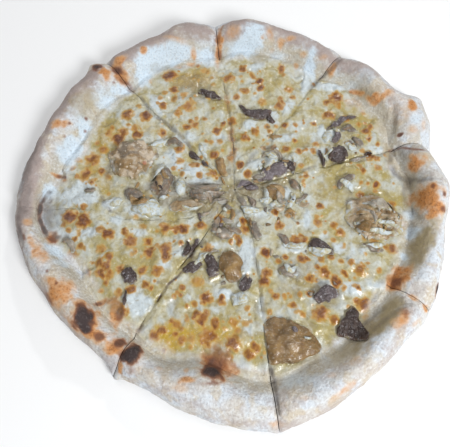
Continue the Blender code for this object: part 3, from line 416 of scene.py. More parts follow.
        (-55, 92, 10, 3, -40, 0.2), (-90, -73, 3, 5, 0, 0.3), (88, -8, 3, 9, 0, 0.6),
        (84, 6, 3, 8, 0, 0.4), (-86, 25, 2, 8, 0, 0.7), (-24, 128, 1.6, 9, -3, 0.4),
        (128, -20, 3, 8, -15, 0.4), (98, -84, 14, 1.6, 40, 0.5), (114, 46, 2, 6, 0, 0.3),
        (124, 44, 1.6, 8, 10, 0.4), (122, 66, 1.6, 9, 5, 0.3), (128, 18, 2, 6, 30, 0.5),
        (-50, 4, 6, 3, 0, 0.4), (-20, -6, 12, 3, 10, 0.3),

    ),
    # Damp: oil and juice stains, and painted shade on the rim's inner slopes turned from the
    # light.
    "damp_and_shade": (
        (140, 45, 9, 14, 10, 0.3), (70, 118, 16, 8, -35, 0.1), (50, -60, 16, 16, 0, 0.5),
        (-42, 88, 16, 14, 0, 0.5), (70, 5, 14, 12, 0, 0.2), (-50, 139, 26, 6, 8, 0.22),
        (-125, 72, 9, 15, -20, 0.5), (-35, 98, 14, 9, 0, 0.4), (-25, 80, 12, 10, 0, 0.25),
        (66, -72, 14, 10, 0, 0.35), (45, -48, 16, 10, 0, 0.25), (32, -78, 9, 12, 0, 0.3),
        (-30, -2, 34, 10, 3, 0.9), (10, 4, 26, 9, 15, 0.75), (0, -20, 20, 12, 0, 0.5),
        (-68, -2, 12, 8, 0, 0.5), (95, -50, 12, 8, -20, 0.25), (136, -28, 6, 17, -25, 0.85),
        (128, -44, 5, 8, -25, 0.6), (104, -86, 20, 6, 48, 0.85), (112, -74, 9, 5, 40, 0.6),
        (48, -122, 17, 6, 10, 0.05), (14, -125, 14, 4, -8, 0.12), (-22, -119, 14, 5, -5, 0.15),
        (80, -108, 12, 5, 25, 0.5), (114, 39, 4, 10, 0, 0.6), (100, 93, 11, 4, -12, 0.5),
        (112, 70, 4, 14, 5, 0.3), (13, 121, 8, 5, 0, 0.55), (45, 122, 4, 12, -25, 0.35),
        (-12, 127, 4, 8, -35, 0.35), (-18, 118, 3, 6, 0, 0.5), (-85, 84, 3, 4, 30, 0.5),
        (65, 103, 4, 6, -35, 0.4), (130, 15, 6, 7, 40, 0.35), (95, 103, 12, 6, -10, 0.25),
        (-66, 108, 8, 3, 20, 0.3), (-25, 2, 16, 5, 5, 0.8), (-55, 0, 12, 12, 0, 0.7),
        (-20, -12, 14, 7, -10, 0.6), (-3, 18, 6, 12, -30, 0.45), (12, 6, 12, 5, 10, 0.6),
        (24, 2, 12, 8, 0, 0.4), (-8, -28, 14, 7, 0, 0.45), (25, -10, 14, 6, 0, 0.3),
        (37, -30, 8, 8, 0, 0.25), (86, -14, 4, 14, 5, 0.55), (76, -22, 5, 6, 0, 0.3),
        (15, -28, 3, 8, 0, 0.4), (80, 10, 4, 10, 0, 0.3), (30, 20, 12, 6, 20, 0.3),
        (20, -86, 4, 12, 5, 0.3), (-38, -82, 5, 7, 0, 0.35), (66, 48, 4, 10, -20, 0.3),
        (80, 50, 6, 8, 0, 0.3), (-93, 22, 2.5, 12, -5, 0.6), (-70, -8, 10, 5, 0, 0.6),
        (95, -34, 12, 4, 0, 0.3),

    ),
}

# Lines: places along it, half width, kind of mark, strength, depth of the groove
# Lines on the seams, the left crevice and round rim bubbles are painted shade, tinted by their
# kind of mark.
LINES = (
    (((-136, -7), (-141, -17), (-140, -27), (-132, -39)), 1.9, "shade", 1.0, 2.6),
    (((-137, -7), (-141, -17)), 0.9, "char", 0.8, 0.3),
    (((-141, -17), (-140, -27), (-134, -37)), 1.4, "char", 1.0, 0.4),
    (((-136, -7), (-134, -14), (-137, -20)), 1.5, "shade", 0.8, 0.8),
    (((-124, -41), (-119, -39), (-113, -47), (-110, -53)), 1.5, "shade", 0.8, 1.2),
    (((-90, -87), (-82, -83), (-75, -85), (-73, -92)), 1.8, "toast", 0.9, 0.8),
    (((-133, 7), (-127, 6)), 1.4, "char", 0.6, 0.6),
    (((-128, 3), (-124, 3)), 1.2, "char", 0.5, 0.4),
    (((-92, -17), (-80, -22), (-72, -24), (-55, -23), (-40, -24)), 0.9, "char", 0.42, 0.3),
    (((-13, 92), (-10, 78), (-7, 62), (-5, 48), (-2, 37), (-5, 27)), 2.6, "toast", 0.75, 0.6),
    (((-7, 60), (-5, 48), (-2, 37)), 1.4, "char", 0.6, 0.3),
    (((7, 24), (13, 34), (19, 40), (28, 41)), 1.8, "shade", 0.55, 0.3),
    (((-78, 78), (-70, 66), (-57, 57), (-41, 44), (-34, 34)), 1.6, "shade", 0.65, 0.5),
    (((-20, -37), (-27, -42), (-29, -52)), 2.2, "char", 0.7, 0.6),
    (((-31, -58), (-42, -70), (-50, -84), (-55, -94)), 1.1, "char", 0.7, 0.5),
    (((-54, -92), (-59, -103)), 1.7, "char", 0.55, 0.4),
    (((15, -42), (18, -55), (23, -78), (27, -104), (30, -122)), 1.5, "shade", 0.5, 0.3),
    (((30, -122), (32, -130), (35, -148)), 1.6, "shade", 0.8, 0.6),
    (((44, 20), (60, 27), (80, 31), (100, 34)), 1.2, "shade", 0.6, 0.3),
    (((115, 42), (125, 46), (143, 44)), 1.1, "char", 0.45, 0.3),
    (((117, 42), (116, 33), (119, 24), (127, 18), (137, 19), (147, 22)), 1.9, "shade", 0.6, 1.6),
    (((127, 18), (124, 8), (126, -4), (134, -12)), 2.2, "shade", 0.35, 1.4),
    (((117, 92), (121, 82), (120, 70), (118, 58)), 2.4, "shade", 0.15, 1.2),
    (((55, 95), (64, 106), (74, 116), (80, 125)), 1.7, "shade", 0.6, 0.4),
    (((88, 94), (98, 92), (106, 84), (118, 96)), 2.0, "toast", 0.8, 0.5),
    (((-20, 151), (-22, 138), (-19, 122), (-17, 110)), 2.2, "char", 0.4, 0.8),
    (((-100, 97), (-91, 90), (-85, 83)), 2.2, "char", 0.45, 0.6),
    (((-70, 105), (-58, 109), (-46, 112)), 2.0, "shade", 0.4, 0.5),
    (((84, -46), (92, -51), (97, -54)), 1.1, "char", 0.7, 0.3),
    (((98, -92), (112, -80), (124, -72)), 2.2, "shade", 0.4, 0.5),
    (((-97, -8), (-94, -14), (-90, -18)), 1.4, "shade", 0.6, 0.3),
    (((-12, -8), (-12, -14), (-10, -20)), 0.9, "char", 0.4, 0.2),
    (((2, -7), (6, -13)), 0.9, "char", 0.4, 0.2),
    (((42, -16), (47, -20)), 1.0, "shade", 0.7, 0.2),
    (((16, 143), (21, 150)), 1.6, "toast", 0.6, 0.2),
    (((31, 134), (32, 141), (42, 144)), 1.8, "toast", 0.6, 0.3),
)
LINE_STEP = 1.5

# ---------------------------------------------------------------- toppings

# Toppings: name, slice, finish, three places along the middle, the widths there, thickness
# at the edge, extra height in the middle, what it lies on besides the cheese, surface form
# and tone, from -1 for the darkest to 1 for the palest.
TOPPINGS = (
    ("puffed_mushroom_4", 4, "tan", ((-92, 15), (-78, 23), (-62, 27)),
     (22, 31, 19), 1.6, 4.5, None, "puffed", 0.1),
    ("folded_mushroom_4a", 4, "grey", ((-55, 17), (-53, 6), (-58, -4)),
     (9, 14, 10), 2.2, 2.0, None, "folded", -0.15),
    ("folded_mushroom_4b", 4, "grey", ((-80, -7), (-74, -5), (-68, -6)),
     (5, 9, 6), 2.0, 1.2, None, "folded", -0.15),
    ("pale_mushroom_4", 4, "puff", ((-40, 9), (-40, 2), (-39, -4)),
     (5, 8, 6), 2.0, 1.5, None, "folded", 0.0),
    ("long_mushroom_4", 4, "grey", ((-33, -3), (-23, 1), (-12, 3)),
     (5, 7, 4), 2.0, 1.0, None, "slice", 0.05),
    ("curled_mushroom_4", 4, "tan", ((-46, -13), (-35, -12), (-24, -10)),
     (6, 9, 5), 2.0, 1.6, None, "slice", 0.25),
    ("cheese_puff_4", 4, "puff", ((-73, -16), (-62, -15), (-51, -17)),
     (6, 12, 7), 1.4, 3.0, None, "soft", 0.0),
    ("small_mushroom_4", 4, "grey", ((-54, 38), (-48, 40), (-42, 36)),
     (4, 6, 3), 1.6, 1.0, None, "folded", 0.0),
    ("leaning_mushroom_3", 3, "tan", ((-13, 27), (-11, 20), (-7, 14)),
     (5, 8, 4), 1.8, 1.2, None, "slice", 0.05),
    ("truffle_3", 3, "truffle", ((-33, 84), (-25, 84), (-17, 80)),
     (3, 6, 5), 1.4, 0.8, None, "shaving", 0.0),
    ("truffle_2", 2, "truffle", ((1, 74), (11, 68), (23, 69)),
     (4, 7, 7), 1.4, 1.0, None, "shaving", 0.1),
    ("truffle_1a", 1, "truffle", ((17, 14), (29, 21), (41, 24)),
     (6, 11, 8), 1.6, 1.4, None, "shaving", 0.45),
    ("truffle_1b", 1, "truffle", ((69, 58), (79, 65), (89, 70)),
     (3, 5, 3), 1.4, 0.8, None, "shaving", 0.3),
    ("truffle_1c", 1, "truffle", ((71, 34), (77, 36), (83, 35)),
     (8, 12, 7), 1.6, 1.6, None, "shaving", 0.1),
    ("truffle_1d", 1, "truffle", ((62, 39), (63.5, 33), (66, 28)),
     (3, 4, 4), 1.6, 0.8, None, "shaving", 0.1),
    ("truffle_1e", 1, "truffle", ((75, 56), (76, 51), (74, 46)),
     (4, 5, 3), 1.4, 0.8, None, "shaving", 0.3),
    ("mushroom_1a", 1, "grey", ((80, 57), (85, 59), (91, 58)),
     (3, 5, 3), 1.6, 0.8, None, "slice", -0.1),
    ("mushroom_1b", 1, "grey", ((88, 52), (91, 48), (94, 44)),
     (3, 4, 3), 1.6, 0.6, None, "slice", 0.0),
    ("mushroom_1c", 1, "grey", ((20, 31), (26, 35), (33, 30)),
     (3, 5, 4), 1.8, 0.8, None, "slice", 0.0),
    ("truffle_8a", 8, "truffle", ((7, 3), (12, 4.5), (17, 5)),
     (3, 5, 4), 1.4, 0.8, None, "shaving", 0.3),
    ("mushroom_8a", 8, "tan", ((24, -2), (29, 2), (35, 1)),
     (9, 13, 8), 2.0, 1.4, None, "folded", -0.1),
    ("mushroom_8b", 8, "grey", ((40, 14), (44, 10), (46, 6)),
     (3, 5, 4), 1.6, 0.8, None, "slice", 0.0),
    ("pale_mushroom_8", 8, "puff", ((41.5, 3), (42, -3), (39, -9)),
     (3, 4, 4), 1.8, 1.2, None, "soft", 0.0),
    ("mushroom_mound_8", 8, "tan", ((83, -9), (101, -13), (119, -17)),
     (24, 33, 20), 1.6, 4.0, None, "mound", 0.1),
    ("mound_slice_8a", 8, "tan", ((88, -19), (94, -17), (100, -19)),
     (3, 10, 3), 1.6, 1.0, "mushroom_mound_8", "mound", 0.05),
    ("mound_slice_8b", 8, "grey", ((92, -5), (102, -5), (111, -8)),
     (3, 8, 3), 1.6, 0.8, "mushroom_mound_8", "mound", 0.4),
    ("mound_slice_8c", 8, "tan", ((106, -20), (112, -17), (117, -19)),
     (3, 8, 3), 1.6, 0.8, "mushroom_mound_8", "mound", 0.4),
    ("mushroom_8c", 8, "grey", ((77, 8), (80, 15), (88, 19)),
     (3, 5, 4), 1.8, 0.8, None, "slice", -0.1),
    ("truffle_7a", 7, "truffle", ((56, -34), (63, -37), (71, -41)),
     (6, 8, 5), 1.4, 1.4, None, "shaving", 0.05),
    ("truffle_7b", 7, "truffle", ((60, -77), (65, -71), (74, -69)),
     (7, 11, 6), 1.6, 1.4, None, "shaving", 0.25),
    ("truffle_leaf_7", 7, "truffle", ((84, -79), (83, -89), (82, -99)),
     (5, 14, 23), 1.4, 1.6, None, "leaf", -0.35),
    ("broad_mushroom_7", 7, "tan", ((27, -104), (44, -104), (61, -107)),
     (34, 27, 9), 2.2, 2.4, None, "broad", -0.2),
    ("mushroom_7a", 7, "grey", ((35, -57), (40, -56), (46, -59)),
     (5, 8, 5), 1.6, 1.0, None, "slice", 0.1),
    ("mushroom_7b", 7, "grey", ((15, -22), (16, -28), (19, -34)),
     (4, 7, 5), 1.8, 1.0, None, "slice", 0.0),
    ("brown_mushroom_6", 6, "tan", ((-2, -45), (0, -54), (3, -65)),
     (11, 17, 9), 2.2, 2.0, None, "broad", -0.12),
    ("truffle_6a", 6, "truffle", ((-16, -49), (-14, -55), (-10, -62)),
     (6, 8, 6), 1.6, 1.2, None, "shaving", 0.1),
    ("truffle_6b", 6, "truffle", ((7, -70), (11, -67), (14, -63)),
     (4, 8, 4), 1.4, 1.0, None, "shaving", 0.1),
    ("cheese_puff_6", 6, "puff", ((2, -79), (8, -77), (14, -78)),
     (6, 10, 6), 1.4, 2.2, None, "soft", 0.0),
    ("truffle_6c", 6, "truffle", ((-32, -60), (-27, -57), (-21, -54)),
     (4, 6, 4), 1.4, 0.8, None, "shaving", 0.1),
    ("mushroom_6", 6, "grey", ((-14, -28), (-8, -31), (0, -32)),
     (6, 9, 6), 1.8, 1.2, None, "folded", 0.1),
    ("truffle_5a", 5, "truffle", ((-31, -39), (-31, -44), (-34, -49)),
     (3, 4, 3), 1.4, 0.8, None, "shaving", -0.1),
    ("truffle_5b", 5, "truffle", ((-75, -65), (-70, -65), (-66, -70)),
     (6, 9, 6), 1.6, 1.4, None, "shaving", 0.1),
    ("mushroom_5", 5, "grey", ((-122, -41), (-116, -43), (-112, -50)),
     (3, 5, 4), 1.8, 0.8, None, "slice", 0.2),
)
BLUNT_END = 0.28           # the width is drawn in by this share at the ends
END_BOW = 0.06             # the ends bow out by this share of the length
OUTLINE_WAVES = ((10.0, 2.2), (4.4, 1.3), (2.2, 0.7), (1.3, 0.3))
OUTLINE_SHIFTS = (11.3, 29.7)  # where the unevenness along x and along y is read
WIDTH_WAVES = 0.35         # share by which the width is uneven, in pieces up to this width
WIDEST_UNEVEN = 7.0
FOLD_SOFTNESS = 0.1        # the folds' valleys are rounded by this share of their height
LEAST_RISE = 0.12          # a topping stands at least this high over the cheese
TOPPING_CELL = 0.8
SINK = 0.6                 # a topping lies this deep in the melted cheese
TRIM_REACH = 3.0           # a cut is straight over twice this length where it trims
RAY_START = 60.0           # over everything
LAY_REACH = 1.2            # the surface under a topping is read over this distance

# Folds of each surface form: wavelength and height, billowing where the height is positive
# and creased like crumpled paper where it is negative
CRUMPLED = ((4.5, -1.4), (2.4, -1.0), (1.3, 0.4))
FOLDS = {
    "puffed": ((11.0, 3.2), (4.6, 1.8), (2.2, 0.6)),
    "folded": ((7.0, 1.4), (2.6, 0.4)),
    "slice": ((5.0, 0.8), (2.2, 0.3)),
    "mound": ((9.0, 2.2), (4.0, 1.3), (2.0, 0.5)),
    "broad": ((14.0, 1.6), (5.0, 0.6), (2.2, 0.2)),
    "shaving": CRUMPLED,
    "leaf": CRUMPLED,
    "soft": ((5.5, 1.6), (2.6, 0.5)),
}
# Of each form: share of the thickness at the outline, how far edges curl up, how ragged the
# outline is, how clearly gills are drawn, or fine bubbles below 0, how much cheese is on it,
# and how gently it thickens from its outline
FORMS = {
    "puffed": (0.03, 0.0, 1.4, -0.85, 0.1, 0.65),
    "mound": (0.02, 0.0, 1.2, -0.4, 0.24, 0.9),
    "folded": (0.12, 0.1, 0.45, 0.2, 0.1, 0.7),
    "slice": (0.15, 0.1, 0.6, 0.35, 0.12, 0.65),
    "broad": (0.1, 0.0, 0.6, 0.1, -0.06, 0.7),
    "shaving": (0.3, 0.5, 0.95, 0.7, 0.0, 0.5),
    "leaf": (0.3, 0.5, 0.4, 0.7, 0.0, 0.5),
    "soft": (0.1, 0.0, 0.8, 0.0, 0.0, 0.6),
}

# Small slices, listed one by one: finish, three places along the middle, width, tone
STRIPS = (
    ("grey", ((-35, 5), (-24, 3), (-11, 6)), 4.0, 0.15),
    ("grey", ((-34, -4), (-26, -5), (-17, -3)), 3.5, 0.0),
    ("grey", ((-20, -1), (-11, -1), (-3, 0)), 5.0, 0.1),
    ("truffle", ((-3, 6), (5, 8.5), (13, 7)), 6.0, 0.7),
    ("grey", ((10, -2), (13, -5), (14, -9)), 4.5, -0.25),
    ("tan", ((26, 7), (32, 4), (36, -1)), 5.0, 0.15),
    ("grey", ((3, -4), (8, -8), (8, -14)), 4.0, 0.25),
    ("tan", ((40, -10), (42, -13), (44, -17)), 4.0, -0.2),
    ("truffle", ((-35, 33), (-32, 30), (-28, 28)), 5.5, -0.1),
    ("truffle", ((-26, 24), (-24, 23), (-21, 22)), 4.0, 0.0),
    ("grey", ((-17, -10), (-13, -6), (-7, -4)), 3.0, 0.0),
    ("grey", ((-15, -17), (-13, -24), (-14, -32)), 6.0, 0.1),
    ("grey", ((-5, -26), (1, -29), (6, -31)), 5.0, 0.05),
    ("puff", ((-28, 38), (-26, 33), (-22, 28)), 4.0, 0.0),
    ("puff", ((42, 35), (43, 30), (43, 25)), 4.0, 0.0),
    ("puff", ((22, 33), (27, 29), (22, 22)), 6.0, 0.0),
    ("grey", ((28, 36), (32, 34), (33, 29)), 4.0, 0.1),
    ("truffle", ((37, 25), (40, 23), (42, 20)), 5.0, -0.1),
    ("truffle", ((-71, -77), (-71, -81), (-70, -85)), 3.2, -0.1),
    ("grey", ((-111, -3), (-107, -3), (-102, -3)), 4.0, -0.2),
    ("puff", ((-90, -15), (-86, -13), (-81, -10)), 4.5, 0.0),
    ("truffle", ((-23, -38), (-26, -41), (-28, -46)), 3.2, 0.1),
    ("truffle", ((22, 66), (24, 62), (26, 59)), 4.0, 0.0),
    ("tan", ((20, 46), (24, 49), (27, 53)), 3.0, -0.1),
    ("tan", ((25, 50), (28, 49), (33, 50)), 3.0, 0.0),
    ("tan", ((-75, -8), (-70, -12), (-63, -9)), 6.0, 0.1),
    ("puff", ((66, 54), (69, 50), (70, 46)), 8.0, 0.0),
    ("puff", ((83, 47), (86, 43), (90, 41)), 6.0, 0.0),
    ("puff", ((64, 37), (66, 34), (68, 31)), 4.0, 0.0),
    ("grey", ((84, 34), (91, 34), (98, 36)), 4.0, 0.0),
    ("truffle", ((97, 37), (99, 38), (101, 36)), 4.0, -0.1),
    ("puff", ((78, 13), (82, 11), (86, 7)), 6.0, 0.0),
    ("puff", ((2, -10), (10, -13), (20, -11)), 6.0, 0.0),
    ("puff", ((18, -6), (22, -5), (27, -7)), 5.0, 0.0),
    ("puff", ((55, -38), (61, -41), (69, -40)), 5.0, 0.0),
    ("puff", ((-16, -47), (-21, -50), (-25, -55)), 4.0, 0.0),
    ("puff", ((36, -36), (44, -38), (52, -36)), 5.0, 0.0),
    ("grey", ((33, -29), (37, -33), (39, -39)), 5.0, -0.1),
    ("puff", ((37, -52), (42, -56), (46, -52)), 4.0, 0.0),
    ("puff", ((100, -18), (107, -18), (115, -20)), 3.5, 0.0),
    ("puff", ((96, -24), (104, -25), (112, -24)), 3.5, 0.0),
    ("puff", ((92, -35), (100, -34), (107, -33)), 4.0, 0.0),
    ("grey", ((92, -33), (99, -37), (106, -37)), 3.5, 0.1),
    ("tan", ((88, -24), (92, -22), (96, -25)), 6.0, -0.1),
    ("puff", ((-36, -14), (-30, -15.5), (-24, -11)), 2.2, 0.0),
    ("puff", ((-66, 36), (-60, 37), (-54, 42)), 5.0, 0.0),
    ("puff", ((-62, 8), (-57, 14), (-54, 22)), 3.5, 0.0),
    ("truffle", ((43, -96), (45, -96), (47, -97)), 4.0, 0.35),
    ("puff", ((51, -100), (53, -101), (54.5, -100)), 2.0, 0.2),
)

# Small scattered pieces lie in ovals: middle, half length, half width and how many
CHOPPED_OVALS = (
    (6, -8, 40, 20, 26), (-40, 2, 30, 12, 8), (25, 20, 14, 10, 6), (-12, -40, 14, 10, 4),
    (0, -64, 16, 10, 4), (100, -15, 20, 14, 10), (78, 42, 18, 14, 6), (66, -66, 14, 12, 6),
    (45, -50, 22, 14, 5), (24, 50, 12, 14, 5),
)
CHOPPED_HALF = (1.3, 1.0, 0.6)   # half length, width and thickness
CHOPPED_SIZES = (0.55, 1.5)
CHOPPED_TILT = 0.6
CHOPPED_ROOM = 1.6         # room beside a cut
CHOPPED_REACH = 0.6        # the surface under a bit is read over this distance
CHOPPED_RISE = 0.2
CHOPPED_LUMPS = (1.7, 0.9)   # wavelength and share of its unevenness
SLIVER_OVALS = (
    (4, -8, 40, 20, 16), (-48, 4, 26, 12, 5), (24, 24, 18, 10, 3), (40, 0, 14, 12, 4),
    (102, -14, 18, 12, 7), (-20, -46, 8, 8, 2), (76, 42, 16, 14, 3),
)
SLIVER_LENGTHS = (5.0, 11.0)
SLIVER_BEND = 0.25         # share of the length
SLIVER_WIDTHS = (0.28, 0.5)
SLIVER_TONES = (-0.1, 0.4)
STRIP_DEPTH = (0.4, 0.9)   # thickness at the edge and extra height in the middle
STRIP_TAPER = 0.6          # width of its ends against its middle
STRIP_ROOM = 0.3           # room beside a cut
STRIP_FORMS = {"tan": "folded", "grey": "slice", "truffle": "shaving", "puff": "soft"}
# Share of each finish among the scattered ones
SCATTER_SHARES = (("tan", 0.42), ("grey", 0.30), ("puff", 0.20), ("truffle", 0.08))

# ---------------------------------------------------------------- stage

COAT = 0.4                 # wetness of the cheese, of which toppings have a share
COAT_ROUGHNESS = 0.12
FLESH_SHADES = (0.62, 1.9, 0.45)   # of mushroom in its dark places, gills, and creases (painted shade)

FLOOR_SIZE = 6.0
FLOOR_LEVEL = -0.0004
FLOOR_ROUGHNESS = 0.9
SURROUNDING_COLOUR = (0.96, 0.98, 1.0, 1.0)
# Lights: name, place, width, share of the key light's power, colour
LIGHTS = (
    ("key light", (0.56, -0.64, 0.66), 0.36, 1.0, (0.97, 0.985, 1.0)),
    ("fill light", (-0.4, 0.5, 1.2), 0.9, 0.35, (1.0, 0.98, 0.96)),
    ("glint light", (0.25, 0.75, 0.55), 0.06, 0.16, (1.0, 1.0, 1.0)),
)


def colour_setting(label, use, value):
    """Setting for a colour."""
    return FloatVectorProperty(
        name=label, description=use, default=value, subtype="COLOR", min=0, max=1)


def number_setting(label, use, value, most, **kind):
    """Setting for a number from 0."""
    return FloatProperty(name=label, description=use, default=value, min=0, max=most, **kind)


class DoughSettings(bpy.types.PropertyGroup):
    """Colours and finish of the baked dough."""

    flour: colour_setting("Flour", "Floury top of the rim", (0.61, 0.585, 0.545))
    dust: colour_setting("Dust", "Zones white with flour", (0.62, 0.665, 0.71))
    crumb: colour_setting("Crumb", "Bare baked dough on the outer slopes", (0.375, 0.30, 0.275))
    toast: colour_setting("Toast", "Browned patches", (0.53, 0.205, 0.043))
    char: colour_setting("Char", "Scorched bubbles", (0.032, 0.024, 0.026))
    # Also the painted shade of the rim's inner slopes, laid where the damp marks lie.
    soaked: colour_setting("Soaked", "Dough that oil has soaked", (0.34, 0.275, 0.155))
    relief: number_setting("Relief", "Strength of the fine unevenness", 1.0, 3, subtype="FACTOR")


class CheeseSettings(bpy.types.PropertyGroup):
    """Colours and finish of the melted cheese."""

    yellow: colour_setting("Melted", "Clear melted cheese", (0.445, 0.39, 0.21))
    deep: colour_setting("Clear", "Cheese that has gone clear and oily", (0.37, 0.30, 0.105))
    milk: colour_setting("Milky", "Milky curds", (0.54, 0.60, 0.62))
    oil: colour_setting("Oil", "Pools of yellow oil", (0.44, 0.28, 0.025))
    halo: colour_setting("Blister Edge", "Outer browning of a blister", (0.47, 0.265, 0.05))
    blister: colour_setting("Blister", "Middle of a blister", (0.29, 0.105, 0.012))
    # Also painted shade beside the mound and round toppings, laid where the damp marks lie.
    wet: colour_setting("Wet", "Cheese wet with mushroom juice", (0.225, 0.185, 0.125))
    relief: number_setting("Relief", "Height of curds and blisters", 1.0, 3, subtype="FACTOR")


class ToppingSettings(bpy.types.PropertyGroup):
    """Colours of mushroom and truffle."""

    tan: colour_setting("Tan Mushroom", "Baked mushroom", (0.33, 0.20, 0.07))
    grey: colour_setting("Grey Mushroom", "Soft, wet mushroom", (0.23, 0.195, 0.155))
    browned: colour_setting("Browned Mushroom", "Browned flesh", (0.27, 0.14, 0.045))
    pale: colour_setting("Pale Flesh", "Pale mushroom flesh", (0.74, 0.72, 0.62))
    truffle: colour_setting("Truffle", "Dark truffle shavings", (0.030, 0.016, 0.012))


class StageSettings(bpy.types.PropertyGroup):
    """Floor and light."""

    floor: colour_setting("Floor", "Colour of the floor", (0.90, 0.90, 0.90))
    key: number_setting("Key Light", "Power of the main light", 9.5, 100,
                        subtype="POWER", unit="POWER")
    fill: number_setting("Surrounding Light", "Strength of the light from all round", 0.42, 3)


# ---------------------------------------------------------------- form, worked out on arrays


def hermite(start, slope_start, end, slope_end, share):
    """Cubic from start to end with given slopes over the whole way."""
    square = share * share
    cube = square * share
    return (
        (2 * cube - 3 * square + 1) * start
        + (cube - 2 * square + share) * slope_start
        + (3 * square - 2 * cube) * end
        + (cube - square) * slope_end
    )


def cubic(before, start, end, after, share):
    """Cubic from start to end whose slopes follow the neighbouring values."""
    return hermite(start, (end - before) / 2, end, (after - start) / 2, share)


def smooth(low, high, value):
    """Soft step from 0 below low to 1 above high."""
    share = np.clip((value - low) / (high - low), 0, 1)
    return share * share * (3 - 2 * share)


def around(table, place):
    """Values of a table of quarter slices at places, which are slice number + share."""
    values = np.array(table).ravel()
    position = place * 4
    first = np.floor(position).astype(int)
    near = [values[(first + step) % values.size] for step in (-1, 0, 1, 2)]
    return cubic(*near, position - first)


def stray(strays, share):
    """Sideways distances of a cut from its straight line, at shares of its length."""
    places = np.array((0.0, *STRAY_PLACES, 1.0))
    values = np.array((0.0, *strays, 0.0))
    slopes = np.zeros(len(places))
    slopes[1:-1] = (values[2:] - values[:-2]) / (places[2:] - places[:-2])
    slopes[-1] = (values[-1] - values[-2]) / (places[-1] - places[-2])
    share = np.clip(share, 0, 1)
    index = np.minimum(np.searchsorted(places, share, side="right") - 1, len(places) - 2)
    run = places[index + 1] - places[index]
    return hermite(
        values[index], slopes[index] * run, values[index + 1], slopes[index + 1] * run,
        (share - places[index]) / run,
    )


def cut_angle(cut, radius):
    """Directions of a cut, in radians, at distances from the cut centre."""
    angle, strays = CUTS[cut % SLICES]
    sideways = stray(strays, radius / CUT_LENGTH)
    return math.radians(angle + 360 * (cut // SLICES)) + np.arcsin(sideways / radius)


def slice_places(number, across, radius, kerfs=None):
    """Places in plan, shares of the way across a slice, at distances from the centre."""
    kerfs = kerfs or [KERFS[(number + side) % SLICES] for side in (0, 1)]
    first = cut_angle(number, radius) + np.arcsin(kerfs[0] / 2 / radius)
    last = cut_angle(number + 1, radius) - np.arcsin(kerfs[1] / 2 / radius)
    angle = first + across * (last - first)
    return CUT_CENTRE + radius[:, None] * np.column_stack((np.cos(angle), np.sin(angle)))


def to_cut(number, across, radius):
    """Distances along the round to the nearer cut."""
    span = cut_angle(number + 1, radius) - cut_angle(number, radius)
    return np.minimum(across, 1 - across) * span * radius


def rim_shape(number, across):
    """Reach, width and height of the rim, rounded down beside the cuts."""
    table = np.array(RIM)
    reach, width, height = (around(table[:, kind], number + across) for kind in range(3))
    rounding = np.exp(-((to_cut(number, across, reach) / SHOULDER) ** 2))
    return reach - SHOULDER_PULL * rounding, width, height * (1 - SHOULDER_DROP * rounding)


def on_level(plan, level=0.0):
    """Places in plan as points on a level."""
    return np.column_stack((plan, np.broadcast_to(level, len(plan))))


def wave(points, length, shift=0.0):
    """Soft unevenness from -1 to 1 at points, the same on every run."""
    return np.array([noise.noise(place) for place in (points / length + shift).tolist()])


def waves(points, sizes, shift=0.0):
    """Unevenness of several wavelengths and heights."""
    return sum(height * wave(points, length, shift) for length, height in sizes)


def kerf_wander(cut, radius):
    """Share of a cut's melted width that is open, at distances from the centre."""
    line = np.column_stack((radius, 0 * radius + KERF_SHIFT * (cut % SLICES), 0 * radius))
    open_share = np.clip(KERF_MEAN + KERF_UNEVEN * wave(line, KERF_WAVE), *KERF_RANGE)
    return open_share * np.clip(radius / TIP_CLOSING, TIP_OPEN, 1)


def rim_section(place, height):
    """Distance in from the outside, as a share, and level of the rim's section at places."""
    section = np.array(RIM_SECTION)
    first = np.clip(np.floor(place).astype(int), 0, SECTION_END - 1)
    rows = [np.clip(first + step, 0, SECTION_END) for step in (-1, 0, 1, 2)]
    levels = []
    for row in rows:
        level = section[row, 1] * height
        levels.append(np.where(row < CROWN_ROW, np.maximum(level, BASE_HEIGHT), level))
    inward = cubic(*(section[row, 0] for row in rows), place - first)
    return inward, cubic(*levels, place - first)


def dough_points(number, across, place, relief=0.0):
    """Points of the dough: places from -1 to 0 cross the base, then go round the rim."""
    reach, width, height = rim_shape(number, across)
    foot = reach - width
    inward, level = rim_section(np.clip(place, 0, SECTION_END), height)
    base_radius = TIP_RADIUS + (1 + place) * (foot - TIP_RADIUS)
    radius = np.where(place < 0, base_radius, reach - inward * width)
    points = np.column_stack((slice_places(number, across, radius), level))
    core_in, core_up = SECTION_CORE
    core_plan = slice_places(number, across, reach - core_in * width)
    away = points - np.column_stack((core_plan, core_up * height))
    away /= np.linalg.norm(away, axis=1)[:, None]
    swell = waves(points, WAVE)
    for centre, size, push in BUBBLES:
        swell += push * np.exp(-((np.linalg.norm(points - centre, axis=1) / size) ** 2))
    swell *= np.clip(place, 0, 1)
    if relief:
        swell += relief * waves(points, DOUGH_RELIEF, 5.0) * smooth(0.7, 1.6, place)
        swell -= grooves(points)
    moved = points + (swell * np.clip(SECTION_END - place, 0, 1))[:, None] * away
    radius = np.where(place < 0, radius, np.hypot(*(moved[:, :2] - CUT_CENTRE).T))
    lowest = OUTSIDE_CLEAR * np.clip(SECTION_END - place, 0, 1)
    level = np.where(place < 0, BASE_HEIGHT, np.maximum(moved[:, 2], lowest))
    return np.column_stack((slice_places(number, across, radius), level))


